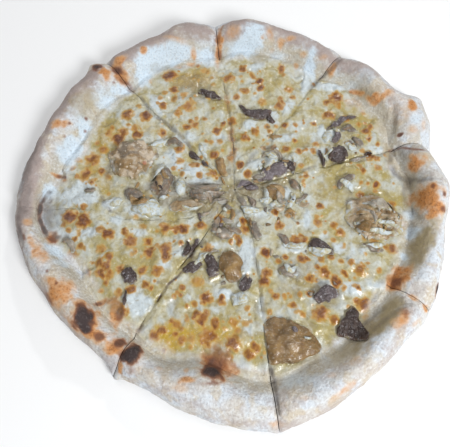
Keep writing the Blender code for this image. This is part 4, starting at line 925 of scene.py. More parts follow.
def cheese_points(number, across, place):
    """Top and underside of the cheese: places 0 to 1 level, 1 to 2 up the rim's slope."""
    reach, width, _ = rim_shape(number, across)
    climb = around(CHEESE_CLIMB, number + across)
    foot = reach - width + np.minimum(climb, 0)
    low = dough_points(number, across, np.zeros(len(across)))
    high = dough_points(number, across, np.ones(len(across)))
    least, most = CLIMB_RANGE
    share = np.where(climb > 0, np.clip(climb + waves(low, CLIMB_WAVE), least, most), 0)
    share = np.minimum(share + FILM_CLIMB * smooth(0, 0.3, climb), 1)
    slope_length = np.linalg.norm(high - low, axis=1)
    left = np.clip(2 - place, 0, 1)
    step = EDGE_STEP + BARE_RUN * smooth(0, 3, -climb)
    run = (1 - left) * (step + share * slope_length)
    up_slope = np.clip((run - step) / np.maximum(share * slope_length, 0.01), 0, 1)
    filled = (1 - up_slope) ** EDGE_CURVE * smooth(0, EDGE_FEATHER, 1 - up_slope)
    fullness = np.where(share > 0, filled, left ** BARE_EDGE_CURVE)
    radius = np.clip(place, 0, 1) * (foot - step) + np.minimum(run, step)
    radius = np.maximum(radius, MELTED_TIP)
    plan = slice_places(number, across, radius)
    under = on_level(plan, BASE_HEIGHT + CONTACT_GAP)
    rising = run > step
    on_slope = dough_points(number, across, np.maximum(run - step, 0) / slope_length)
    on_slope[:, 2] += CONTACT_GAP
    under[rising] = on_slope[rising]
    under[:, 2] -= EDGE_DIP * (1 - smooth(0, 0.6, left))
    thinning = np.where(climb > 0, EDGE_THINNING, BARE_EDGE_THINNING)
    depth = CHEESE_DEPTH * (1 - (1 - thinning) * smooth(0.85, 1.0, place))
    depth += waves(on_level(plan), CHEESE_WAVE)
    top = under.copy()
    top[:, 2] += EDGE_FILM + (depth - EDGE_FILM) * fullness
    level = ~rising
    first, last = (MELTED_KERFS[(number + side) % SLICES] for side in (0, 1))
    kerfs = first * kerf_wander(number, radius), last * kerf_wander(number + 1, radius)
    top[level, :2] = slice_places(
        number, across[level], radius[level], [kerf[level] for kerf in kerfs]
    )
    return top, under


# ---------------------------------------------------------------- marks on the surface


@cache
def surface_of(*names):
    """Tree of the faces of some of the frame's solids or of pieces, made once."""
    shape = bmesh.new()
    for name in names:
        obj = frame["nodes"][name] if name in frame["nodes"] else bpy.data.objects[name]
        shape.from_mesh(obj.data)
    tree = BVHTree.FromBMesh(shape)
    shape.free()
    return tree


def slice_names(*kinds):
    """Names of the solids or pieces of some kinds that each slice has."""
    return [f"{kind}_{number + 1}" for kind in kinds for number in range(SLICES)]


def seen_place(x, y):
    """Point of the surface, in millimetres, that is seen at a place on the cheese's level."""
    eye = Vector(VIEW_POINT)
    way = Vector((x, y, SEEN_LEVEL)) * MM - eye
    hit = surface_of(*slice_names("crust", "cheese")).ray_cast(eye, way.normalized())[0]
    return np.array((x, y, SEEN_LEVEL)) if hit is None else np.array(hit) / MM


def freckles():
    """Small blisters scattered over the cheese, the same on every run."""
    chance = random.Random(11)
    small, large = FRECKLE_RADII
    found = []
    while len(found) < FRECKLES:
        x, y = (chance.uniform(-FRECKLE_FIELD, FRECKLE_FIELD) for _ in range(2))
        if chance.random() < FRECKLES_GATHERED:
            x, y = (chance.gauss(middle, FRECKLE_GAP) for middle in chance.choice(BLISTERS)[:2])
        if math.hypot(x, y) < FRECKLE_FIELD:
            size = small + (large - small) * chance.random() ** 2
            found.append((x, y, size, chance.uniform(*FRECKLE_DEPTHS)))
    return found


@cache
def mark_tables():
    """All marks as centre, half length, half width, direction and strength."""
    tables = {"brown": [], **{kind: [] for kind in MARKS}}
    for x, y, radius, depth in (*BLISTERS, *freckles()):
        size = BLISTER_SPREAD * radius
        tables["brown"].append((seen_place(x, y), size, size, 0.0, depth))
    for kind, marks in MARKS.items():
        for x, y, along, across, turn, strength in marks:
            tables[kind].append((seen_place(x, y), along, across, math.radians(turn), strength))
    # Round each topping but puffed cheese: a damp mark, a juice stain with painted shade under its
    # edge.
    for _, _, finish, spine, widths, *_ in TOPPINGS:
        if finish != "puff":
            place, heading = spine_point(spine, 0.5)
            tables["damp_and_shade"].append((
                seen_place(*place), spine_length(spine) / 2 + JUICE_AND_SHADE_REACH,
                max(widths) / 2 + JUICE_AND_SHADE_REACH, math.atan2(heading.y, heading.x), JUICE_AND_SHADE,
            ))
    return tables


@cache
def line_places():
    """Close places along each line on the surface, with its width, kind and strength."""
    found = []
    for places, half_width, kind, strength, depth in LINES:
        steps = []
        for start, end in zip(places, places[1:]):
            count = max(2, round(math.dist(start, end) / LINE_STEP))
            steps += [Vector(start).lerp(Vector(end), step / count) for step in range(count)]
        seen = [Vector(seen_place(*place)) for place in (*steps, places[-1])]
        spots = [seen[-1]]
        for start, end in zip(seen, seen[1:]):
            count = max(1, math.ceil((end - start).length))
            spots += [start.lerp(end, step / count) for step in range(count)]
        found.append((np.array(spots), half_width, kind, strength, depth))
    return found


def near_line(points, spots, half_width):
    """Nearness of points to a line, 1 on it and 0 from twice its half width on."""
    reach = LINE_REACH * half_width
    nearness = np.zeros(len(points))
    lowest, highest = spots.min(axis=0) - reach, spots.max(axis=0) + reach
    near = np.flatnonzero(np.all((points > lowest) & (points < highest), axis=1))
    if near.size:
        gaps = np.linalg.norm(points[near][:, None] - spots[None], axis=2).min(axis=1)
        nearness[near] = smooth(-2.0, -0.2, -gaps / half_width)
    return nearness


def grooves(points):
    """Depth of the grooves along the lines."""
    depth = np.zeros(len(points))
    for spots, half_width, _, _, deep in line_places():
        depth = np.maximum(depth, deep * near_line(points, spots, half_width))
    return depth


def fields_at(points):
    """Strength of each kind of mark at points, with wandering outlines."""
    fine = waves(points, FINE_WANDER, 9.0)
    wide = waves(points, WIDE_WANDER, 2.0)
    lowest, highest = points.min(axis=0), points.max(axis=0)
    fields = {}
    for kind, marks in mark_tables().items():
        total = np.zeros(len(points))
        wander = fine if kind == "brown" else wide
        for centre, along, across, turn, strength in marks:
            reach = MARK_REACH * max(along, across)
            if np.any(centre + reach < lowest) or np.any(centre - reach > highest):
                continue
            near = np.flatnonzero(np.abs(points[:, :2] - centre[:2]).max(axis=1) < reach)
            x, y, z = (points[near] - centre).T
            u = (x * math.cos(turn) + y * math.sin(turn)) / along
            v = (y * math.cos(turn) - x * math.sin(turn)) / across
            w = z / (MARK_HEIGHT * max(along, across))
            distance = np.sqrt(u * u + v * v + w * w) + wander[near]
            total[near] += (1 - total[near]) * strength * smooth(-1.5, -0.3, -distance)
        fields[kind] = total
    for spots, half_width, kind, strength, _ in line_places():
        length, unevenness = LINE_BREAKS
        broken = np.clip(1.0 + unevenness * wave(points, length, 4.0), 0.5, 1)
        mark = strength * broken * near_line(points, spots, half_width)
        fields[kind] = np.maximum(fields[kind], mark)
    return fields


# ---------------------------------------------------------------- meshes


def mesh_of(shape, name):
    """Mesh of a shape that isn't needed any more."""
    mesh = bpy.data.meshes.new(name)
    shape.to_mesh(mesh)
    shape.free()
    return mesh


def finished(mesh, name, material, solids=(), sharp=55.0):
    """Smooth shaded piece that rides on the round and stands for its solids."""
    mesh.name = name
    mesh.shade_smooth()
    mesh.set_sharp_from_angle(angle=math.radians(sharp))
    mesh.materials.append(material)
    obj = bpy.data.objects.new(name, mesh)
    bpy.context.scene.collection.objects.link(obj)
    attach(obj, "root")
    if solids:
        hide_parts(*solids)
    return obj


def write_fields(mesh, fields):
    """Store one number per point and name, for the materials."""
    for name, values in fields.items():
        attribute = mesh.attributes.new(name, "FLOAT", "POINT")
        attribute.data.foreach_set("value", np.asarray(values, np.float32))


def slab(columns, rows):
    """Closed slab of a grid and its copy; for each point its place in the grid and side."""
    shape = bmesh.new()
    bmesh.ops.create_grid(shape, x_segments=columns, y_segments=rows, size=1.0)
    upper = bmesh.ops.extrude_face_region(shape, geom=list(shape.faces))
    for item in upper["geom"]:
        if isinstance(item, bmesh.types.BMVert):
            item.co.z = 1.0
    mesh = mesh_of(shape, "slab")
    places = np.empty(len(mesh.vertices) * 3, np.float32)
    mesh.vertices.foreach_get("co", places)
    x, y, z = places.reshape(-1, 3).T
    column = np.rint((x + 1) / 2 * columns).astype(int)
    row = np.rint((y + 1) / 2 * rows).astype(int)
    return mesh, row * (columns + 1) + column, z > 0.5


def grid_places(columns, rows):
    """Share across and row of each place of a grid."""
    row, column = np.divmod(np.arange((columns + 1) * (rows + 1)), columns + 1)
    return column / columns, row


def settle(mesh, points, tips=(), flat=None):
    """Move a slab's points to their places, close its tip, tidy its flat underside."""
    mesh.vertices.foreach_set("co", (points * MM).astype(np.float32).ravel())
    shape = bmesh.new()
    shape.from_mesh(mesh)
    shape.verts.ensure_lookup_table()
    for tip in [[shape.verts[index] for index in np.flatnonzero(tip)] for tip in tips]:
        middle = sum((vert.co for vert in tip), Vector()) / len(tip)
        bmesh.ops.pointmerge(shape, verts=tip, merge_co=middle)
    if flat is not None:
        level = [
            face for face in shape.faces
            if all(abs(vert.co.z - flat * MM) < FLAT_TOLERANCE for vert in face.verts)
        ]
        bmesh.ops.dissolve_faces(shape, faces=level, use_verts=True)
    bmesh.ops.recalc_face_normals(shape, faces=shape.faces)
    shape.to_mesh(mesh)
    shape.free()
    mesh.update()


def crowd(share):
    """Shares that stand closer together near both ends."""
    return share - CROWDING * np.sin(2 * np.pi * share) / (2 * np.pi)


def slice_columns(number, step):
    """Columns across a slice for a step in millimetres at the rim."""
    span = (CUTS[(number + 1) % SLICES][0] - CUTS[number][0]) % 360
    return round(math.radians(span) * CUT_LENGTH / step)


def cheese_end(number, across, radius):
    """How far places are out to the end of the cheese: 0 well inside, 1 from its end on."""
    reach, width, _ = rim_shape(number, across)
    climb = around(CHEESE_CLIMB, number + across)
    inward = RIM_SECTION[0][0] - RIM_SECTION[1][0]
    end = reach - width + np.maximum(climb, 0) * inward * width
    plan = slice_places(number, across, radius)
    end += END_WANDER * wave(on_level(plan), END_WAVE, 3.0)
    return smooth(-END_BLEND, END_BLEND / 4, radius - end)


def slice_piece(name, solid, material, grid, top, under, fields, flat):
    """Slab of one slice between its top and underside, with its marks at its points."""
    columns, rows = grid
    mesh, index, upper = slab(columns, rows)
    share, _ = grid_places(columns, rows)
    beside = (share == 0) | (share == 1)
    fields = {kind: values[index] for kind, values in fields.items()}
    fields["wall"] = np.where(beside[index] & ~upper, 1.0, 0.0)
    write_fields(mesh, fields)
    tip = index <= columns
    points = np.where(upper[:, None], top[index], under[index])
    settle(mesh, points, (tip & upper, tip & ~upper), flat)
    finished(mesh, name, material, [solid])


def make_dough(number, material, relief):
    """Fine wedge of dough: base, rim and underside."""
    columns = slice_columns(number, DOUGH_STEP)
    rows = DOUGH_BASE_ROWS + DOUGH_RIM_ROWS
    share, row = grid_places(columns, rows)
    across = crowd(share)
    over_base = -(1 - np.minimum(row / DOUGH_BASE_ROWS, 1)) ** 2
    round_rim = (row - DOUGH_BASE_ROWS) / DOUGH_RIM_ROWS * SECTION_END
    place = np.where(row < DOUGH_BASE_ROWS, over_base, round_rim)
    top = dough_points(number, across, place, relief)
    radius = np.hypot(*(top[:, :2] - CUT_CENTRE).T)
    distance = to_cut(number, across, radius)
    open_share = np.array(KERFS)[(number + (across > 0.5)) % SLICES] / WIDEST_KERF
    loss = open_share * CUT_LOSS * np.exp(-((distance / CUT_ROUNDING) ** 2))
    top[:, 2] -= loss * smooth(0, 1.5, place) * smooth(0, 6, top[:, 2])
    reach, width, _ = rim_shape(number, across)
    foot = reach - width
    edge = reach - RIM_SECTION[-1][0] * width - UNDERSIDE_INSET
    outward = np.clip(place, 0, SECTION_END) / SECTION_END
    spread = np.where(place < 0, radius, foot + outward * (edge - foot))
    under = on_level(slice_places(number, across, spread))
    fields = {
        **fields_at(top),
        "cut": distance,
        "inner": smooth(0, 1, place) * smooth(-3.2, -1.2, -place),
        "edge": cheese_end(number, across, radius),
    }
    slice_piece(f"dough_{number + 1}", f"crust_{number + 1}", material,
                (columns, rows), top, under, fields, 0.0)


def make_melt(number, material, relief):
    """Fine layer of cheese with curds, blisters and a soft outer edge."""
    columns = slice_columns(number, CHEESE_STEP)
    rows = CHEESE_ROWS + CHEESE_SLOPE_ROWS
    share, row = grid_places(columns, rows)
    across = crowd(share)
    up_slope = 1 + (row - CHEESE_ROWS) / CHEESE_SLOPE_ROWS
    place = np.where(row < CHEESE_ROWS, row / CHEESE_ROWS, up_slope)
    top, under = cheese_points(number, across, place)
    fields = fields_at(top)
    left = np.clip(2 - place, 0, 1)
    curds = smooth(0.1, 0.55, 0.75 * fields["milk"] + 0.45 * wave(top, 5.5, 1.0))
    lift = CURD_LIFT * curds + BLISTER_LIFT * fields["brown"] - OIL_SINK * fields["oil"]
    lift += waves(top, CHEESE_RELIEF, 7.0)
    lift += CHOPPED_LIFT * smooth(0.2, 0.8, fields["damp_and_shade"]) * np.abs(wave(top, 4.5, 6.0))
    lift -= grooves(top)
    radius = np.hypot(*(top[:, :2] - CUT_CENTRE).T)
    distance = to_cut(number, across, radius)
    loss = CUT_LOSS * np.exp(-((distance / CUT_ROUNDING) ** 2))
    lift = relief * lift - loss * smooth(-0.4, 0.5, wave(top, 14.0, 8.0))
    top[:, 2] += lift * left ** LIFT_CURVE
    top[:, 2] = np.maximum(top[:, 2], under[:, 2] + 0.8 * EDGE_FILM)
    fields["cut"] = distance
    fields["edge"] = cheese_end(number, across, radius)
    fields["inner"] = smooth(1.0, 1.3, place)
    slice_piece(f"melt_{number + 1}", f"cheese_{number + 1}", material,
                (columns, rows), top, under, fields, BASE_HEIGHT + CONTACT_GAP)


def height_under(trees, plan, reach):
    """Highest level of some surfaces at a place and four round it, in millimetres."""
    found = []
    for way in ((0, 0), (1, 0), (-1, 0), (0, 1), (0, -1)):
        start = Vector((*(plan + Vector(way) * reach), RAY_START)) * MM
        for tree in trees:
            hit = tree.ray_cast(start, Vector((0.0, 0.0, -1.0)))[0]
            if hit is not None:
                found.append(hit.z / MM)
    return max(found) if found else BASE_HEIGHT


def spine_point(spine, share):
    """Place and heading on the curve through three places."""
    start, middle, end = (Vector(place) for place in spine)
    control = 2 * middle - (start + end) / 2
    place = (1 - share) ** 2 * start + 2 * share * (1 - share) * control + share ** 2 * end
    heading = (1 - share) * (control - start) + share * (end - control)
    return place, heading.normalized()


def spine_length(spine):
    """Length of the curve through three places."""
    places = [spine_point(spine, step / 12)[0] for step in range(13)]
    return sum((b - a).length for a, b in zip(places, places[1:]))


def topping_width(widths, share):
    """Width of a topping along its middle, drawn in to blunt ends."""
    first, middle, last = widths
    control = 2 * middle - (first + last) / 2
    width = (1 - share) ** 2 * first + 2 * share * (1 - share) * control + share ** 2 * last
    return width * (1 - BLUNT_END + BLUNT_END * math.sqrt(math.sin(math.pi * share)))


def folds(points, form):
    """Height of the folds of a surface form at points."""
    total = np.zeros(len(points))
    for length, height in FOLDS[form]:
        value = np.hypot(wave(points, length, 3.0), FOLD_SOFTNESS) - FOLD_SOFTNESS
        total += height * value if height > 0 else -height * (0.35 - value)
    return total


def trim_to_slice(shape, number, middle):
    """Take off what would reach over a slice's two cuts, and close the piece."""
    radius = (Vector(middle) - Vector(CUT_CENTRE)).length
    radii = np.array((radius - TRIM_REACH, radius + TRIM_REACH))
    for across, outward in ((0.0, 1.0), (1.0, -1.0)):
        near, far = (Vector(place) for place in slice_places(number, across, radii))
        along = (far - near).normalized()
        bmesh.ops.bisect_plane(
            shape,
            geom=[*shape.verts, *shape.edges, *shape.faces],
            plane_co=Vector((*near, 0.0)) * MM,
            plane_no=Vector((along.y, -along.x, 0.0)) * outward,
            dist=FLAT_TOLERANCE,
            clear_outer=True,
        )
        open_edges = [edge for edge in shape.edges if edge.is_boundary]
        if open_edges:
            bmesh.ops.contextual_create(shape, geom=open_edges)


def topping_mesh(number, spine, widths, thickness, crown, form, tone, trees, cell=TOPPING_CELL):
    """Thin folded piece that follows what it lies on, thicker in its middle."""
    edge_share, edge_curl, ragged, gills, veil, swelling = FORMS[form]
    length = spine_length(spine)
    along = max(6, round(length / cell))
    across = max(6, round(max(widths) / cell))
    share, row = grid_places(across, along)
    run = row / along
    lines = [spine_point(spine, step / along) for step in range(along + 1)]
    middle = np.array([line[0] for line in lines])[row]
    heading = np.array([line[1] for line in lines])[row]
    side = np.column_stack((-heading[:, 1], heading[:, 0]))
    width = np.array([topping_width(widths, step / along) for step in range(along + 1)])[row]
    uneven = wave(on_level(middle), 4.0, 6.0)
    width += WIDTH_WAVES * np.minimum(width, WIDEST_UNEVEN) * uneven
    # places gather towards the outline, so that its edge stays round
    over = np.sin(np.pi * (share - 0.5)) / 2
    bow = (1 - (2 * share - 1) ** 2) * (2 * run - 1) * END_BOW * length
    plan = middle + side * (over * width)[:, None] + heading * bow[:, None]
    flat = on_level(plan)
    for wavelength, size in OUTLINE_WAVES:
        shifts = [wave(flat, wavelength, shift) for shift in OUTLINE_SHIFTS]
        plan = plan + ragged * size * np.column_stack(shifts)
    level = np.array([height_under(trees, Vector(place), LAY_REACH) for place in plan]) - SINK
    dome = np.sin(np.pi * run) * np.sin(np.pi * share)
    fullness = edge_share + (1 - edge_share) * np.maximum(dome, 0) ** swelling
    edge = 1 - np.minimum(1, 4 * np.minimum.reduce((run, 1 - run, share, 1 - share)))
    curl = edge_curl * edge * (0.5 + wave(flat, 8.0, 4.0))
    low = on_level(plan, level)
    rise = thickness * fullness + crown * dome + folds(low, form) * (1 - 0.85 * edge) + curl
    top = low + np.column_stack((0 * rise, 0 * rise, SINK + np.maximum(rise, LEAST_RISE)))
    mesh, index, upper = slab(across, along)
    points = np.where(upper[:, None], top[index], low[index])
    fields = {"tone": tone + 0.25 * wave(flat, 6.0, 1.0), "rim": edge,
              "gill": np.full(len(run), gills), "veil": np.full(len(run), veil),
              "along": run * length + flat[0, 0], "over": over * width}
    write_fields(mesh, {name: values[index] for name, values in fields.items()})
    settle(mesh, points)
    shape = bmesh.new()
    shape.from_mesh(mesh)
    trim_to_slice(shape, number - 1, spine[1])
    bmesh.ops.recalc_face_normals(shape, faces=shape.faces)
    shape.to_mesh(mesh)
    shape.free()
    return mesh


def lay_toppings(finish, material):
    """All toppings of one finish, each in place of its solid."""
    for name, number, kind, spine, widths, thickness, crown, carrier, form, tone in TOPPINGS:
        if kind != finish:
            continue
        trees = [surface_of(*slice_names("dough", "melt"))]
        if carrier:
            trees.append(surface_of(f"{carrier}_dressed"))
        mesh = topping_mesh(number, spine, widths, thickness, crown, form, tone, trees)
        finished(mesh, f"{name}_dressed", material, [name])


def pick_finish(chance):
    """Finish of a scattered piece."""
    draw = chance.random()
    for finish, share in SCATTER_SHARES:
        draw -= share
        if draw <= 0:
            return finish
    return SCATTER_SHARES[0][0]


def near_cut(plan, room):
    """Slice that a place lies in, or None where it is nearer to a cut than the room."""
    offset = Vector(plan) - Vector(CUT_CENTRE)
    radius = offset.length
    if radius < 2 * TIP_RADIUS:
        return None
    turn = math.atan2(offset.y, offset.x)
    for number in range(SLICES):
        first = float(cut_angle(number, np.array([radius]))[0])
        last = float(cut_angle(number + 1, np.array([radius]))[0])
        turned = first + (turn - first) % (2 * math.pi)
        if turned < last:
            clear = min(turned - first, last - turned) * radius
            return number if clear > room else None
    return None


def scattered(ovals, chance):
    """Random places in ovals."""
    for x, y, half_length, half_width, count in ovals:
        for _ in range(count):
            out, turn = math.sqrt(chance.random()), chance.uniform(0, 2 * math.pi)
            yield x + out * half_length * math.cos(turn), y + out * half_width * math.sin(turn)


def add_tone(shape, verts, tone, rim):
    """Give some points of a shape their tone and rim, with the other fields of toppings at 0."""
    fields = {"tone": tone, "rim": rim, "gill": 0, "veil": 0, "along": 0, "over": 0}
    for name, value in fields.items():
        layer = shape.verts.layers.float.get(name) or shape.verts.layers.float.new(name)
        for vert in verts:
            vert[layer] = value


def chopped_bit(shape, plan, level, chance):
    """One small lump with a rough surface."""
    size = Vector(CHOPPED_HALF) * chance.uniform(*CHOPPED_SIZES)
    tilt = [chance.uniform(-CHOPPED_TILT, CHOPPED_TILT) for _ in range(2)]
    middle = Vector((*plan, level)) * MM
    turned = Euler((*tilt, chance.uniform(0, math.pi)))
    placed = Matrix.LocRotScale(middle, turned, size * MM)
    add_tone(shape, (), 0, 0)
    made = bmesh.ops.create_icosphere(shape, subdivisions=2, radius=1.0, matrix=placed)["verts"]
    length, unevenness = CHOPPED_LUMPS
    for vert in made:
        push = 1 + unevenness * noise.noise(vert.co / MM / length)
        vert.co = middle + (vert.co - middle) * push
    add_tone(shape, made, chance.uniform(-0.25, 0.5), chance.uniform(0, 0.6))


def scatter_pieces(materials):
    """Chopped bits and small slices in and round the middle, joined by finish."""
    chance = random.Random(5)
    laid = [obj.name for obj in bpy.data.objects if obj.name.endswith("_dressed")]
    trees = [surface_of(*slice_names("dough", "melt")), surface_of(*laid)]
    shapes = {finish: bmesh.new() for finish in materials}
    for shape in shapes.values():
        add_tone(shape, (), 0.0, 0.0)
    for plan in scattered(CHOPPED_OVALS, chance):
        finish = pick_finish(chance)
        if near_cut(plan, CHOPPED_ROOM) is not None:
            level = height_under(trees, Vector(plan), CHOPPED_REACH) + CHOPPED_RISE
            chopped_bit(shapes[finish], plan, level, chance)
    strips = list(STRIPS)
    for plan in scattered(SLIVER_OVALS, chance):
        length = chance.uniform(*SLIVER_LENGTHS)
        turn = chance.uniform(0, math.pi)
        bend = chance.uniform(-SLIVER_BEND, SLIVER_BEND) * length
        way = Vector((math.cos(turn), math.sin(turn)))
        middle = Vector(plan) + Vector((-way.y, way.x)) * bend
        spine = (Vector(plan) - way * length / 2, middle, Vector(plan) + way * length / 2)
        width = chance.uniform(*SLIVER_WIDTHS) * length
        strips.append((pick_finish(chance), spine, width, chance.uniform(*SLIVER_TONES)))
    for finish, spine, width, tone in strips:
        number = near_cut(spine[1], STRIP_ROOM)
        if number is None:
            continue
        widths = (STRIP_TAPER * width, width, STRIP_TAPER * width)
        mesh = topping_mesh(
            number + 1, spine, widths, *STRIP_DEPTH, STRIP_FORMS[finish], tone, trees
        )
        shapes[finish].from_mesh(mesh)
        bpy.data.meshes.remove(mesh)
    for finish, shape in shapes.items():
        bmesh.ops.recalc_face_normals(shape, faces=shape.faces)
        mesh = mesh_of(shape, f"scattered_{finish}")
        finished(mesh, f"scattered_{finish}", materials[finish])


# ---------------------------------------------------------------- materials


class Bench:
    """Shader nodes of one tree, added one after another."""

    def __init__(self, tree):
        self.tree = tree

    def feed(self, socket, value):
        """Set a socket, or link it where the value is another socket."""
        if isinstance(value, bpy.types.NodeSocket):
            self.tree.links.new(value, socket)
        elif socket.type == "RGBA":
            socket.default_value = (*value, 1.0)
        else:
            socket.default_value = value

    def add(self, kind, inputs=None, **settings):
        """New node with its settings and inputs."""
        made = self.tree.nodes.new(kind)
        for name, value in settings.items():
            setattr(made, name, value)
        for name, value in (inputs or {}).items():
            self.feed(made.inputs[name], value)
        return made

    def maths(self, operation, *values, clamp=False):
        """Output of a Math node."""
        inputs = dict(enumerate(values))
        made = self.add("ShaderNodeMath", inputs, operation=operation, use_clamp=clamp)
        return made.outputs[0]

    def blend(self, share, start, end):
        """Output of a colour Mix node."""
        inputs = {0: share, 6: start, 7: end}
        return self.add("ShaderNodeMix", inputs, data_type="RGBA").outputs[2]

    def graded(self, value, low, high, start=0.0, end=1.0):
        """Soft step of a value from low to high."""
        inputs = {"Value": value, "From Min": low, "From Max": high, "To Min": start,
                  "To Max": end}
        made = self.add("ShaderNodeMapRange", inputs, interpolation_type="SMOOTHSTEP")
        return made.outputs["Result"]


def new_group(name, **inputs):
    """Bench of a new group that makes a mask, with its given sockets and its Mask."""
    tree = bpy.data.node_groups.new(name, "ShaderNodeTree")
    tree.interface.new_socket("Vector", in_out="INPUT", socket_type="NodeSocketVector")
    for label, default in inputs.items():
        socket = tree.interface.new_socket(label, in_out="INPUT", socket_type="NodeSocketFloat")
        socket.default_value = default
    tree.interface.new_socket("Mask", in_out="OUTPUT", socket_type="NodeSocketFloat")
    bench = Bench(tree)
    given = bench.add("NodeGroupInput").outputs
    return bench, given, bench.add("NodeGroupOutput").inputs["Mask"]


def torn_edge_group():
    """Group that breaks up the soft outline of a mask."""
    bench, given, mask = new_group(
        "Torn Edge", Mask=0.0, Scale=600.0, Tear=0.5, Low=0.25, High=0.55)
    inputs = {"Vector": given["Vector"], "Scale": given["Scale"], "Detail": 3.0}
    rough = bench.add("ShaderNodeTexNoise", inputs).outputs["Fac"]
    offset = bench.maths("MULTIPLY", bench.maths("SUBTRACT", rough, 0.5), given["Tear"])
    value = bench.maths("ADD", given["Mask"], offset)
    present = bench.graded(given["Mask"], 0.0, 0.06)
    torn = bench.graded(value, given["Low"], given["High"])
    bench.feed(mask, bench.maths("MULTIPLY", torn, present))
    return bench.tree


def speckle_group():
    """Group that scatters small spots of uneven size."""
    bench, given, mask = new_group("Speckle", Scale=500.0, Share=0.3, Size=0.35)
    inputs = {"Vector": given["Vector"], "Scale": given["Scale"]}
    cells = bench.add("ShaderNodeTexVoronoi", inputs).outputs
    pick = bench.add("ShaderNodeSeparateColor", {"Color": cells["Color"]}).outputs["Red"]
    chosen = bench.maths("LESS_THAN", pick, given["Share"])
    half = bench.maths("MULTIPLY", given["Size"], 0.5)
    spot = bench.graded(cells["Distance"], given["Size"], half)
    bench.feed(mask, bench.maths("MULTIPLY", spot, chosen))
    return bench.tree


def shared(name):
    """Node group that more than one material uses, built once."""
    makers = {"Torn Edge": torn_edge_group, "Speckle": speckle_group}
    return bpy.data.node_groups.get(name) or makers[name]()


class Finish(Bench):
    """Material whose colour and relief are laid on one over another, in millimetres."""

    def __init__(self, name):
        self.material = bpy.data.materials.new(name)
        self.material.use_nodes = True
        super().__init__(self.material.node_tree)
        self.shader = self.tree.nodes["Principled BSDF"]
        self.place = self.add("ShaderNodeTexCoord").outputs["Object"]
        self.colour = None
        self.normal = None

    def noise(self, length, detail=2.0, distortion=0.0):
        """Noise of a wavelength."""
        inputs = {"Vector": self.place, "Scale": 1 / (length * MM), "Detail": detail,
                  "Distortion": distortion}
        return self.add("ShaderNodeTexNoise", inputs).outputs["Fac"]

    def field(self, name):
        """Number that a piece stores at its points."""
        return self.add("ShaderNodeAttribute", attribute_name=name).outputs["Fac"]

    def use(self, name, length, **inputs):
        """Mask from a shared group, whose detail has this size."""
        inputs = {"Vector": self.place, "Scale": 1 / (length * MM), **inputs}
        return self.add("ShaderNodeGroup", inputs, node_tree=shared(name)).outputs["Mask"]

    def torn(self, mask, length, tear, low, high):
        """Mask, or field of that name, with a broken outline."""
        mask = self.field(mask) if isinstance(mask, str) else mask
        return self.use("Torn Edge", length, Mask=mask, Tear=tear, Low=low, High=high)

    def speckles(self, length, share, size):
        """Small spots, one for each length, of which a share is there."""
        return self.use("Speckle", length, Share=share, Size=size)

    def lay(self, mask, colour, share=None):
        """Lay a colour over what is there, by a mask and a share of it."""
        mask = mask if share is None else self.maths("MULTIPLY", mask, share)
        self.colour = self.blend(mask, self.colour, colour)

    def raise_by(self, height, distance, strength=1.0):
        """Relief from a height between 0 and 1 and its depth."""
        inputs = {"Height": height, "Distance": distance * MM, "Strength": strength}
        if self.normal is not None:
            inputs["Normal"] = self.normal
        self.normal = self.add("ShaderNodeBump", inputs).outputs["Normal"]

    def done(self, roughness, coat=None):
        """The material, with its roughness and how wet it is."""
        values = {"Base Color": self.colour, "Roughness": roughness}
        if self.normal is not None:
            values["Normal"] = self.normal
        if coat is not None:
            values |= {"Coat Weight": coat, "Coat Roughness": COAT_ROUGHNESS}
        for name, value in values.items():
            self.feed(self.shader.inputs[name], value)
        return self.material


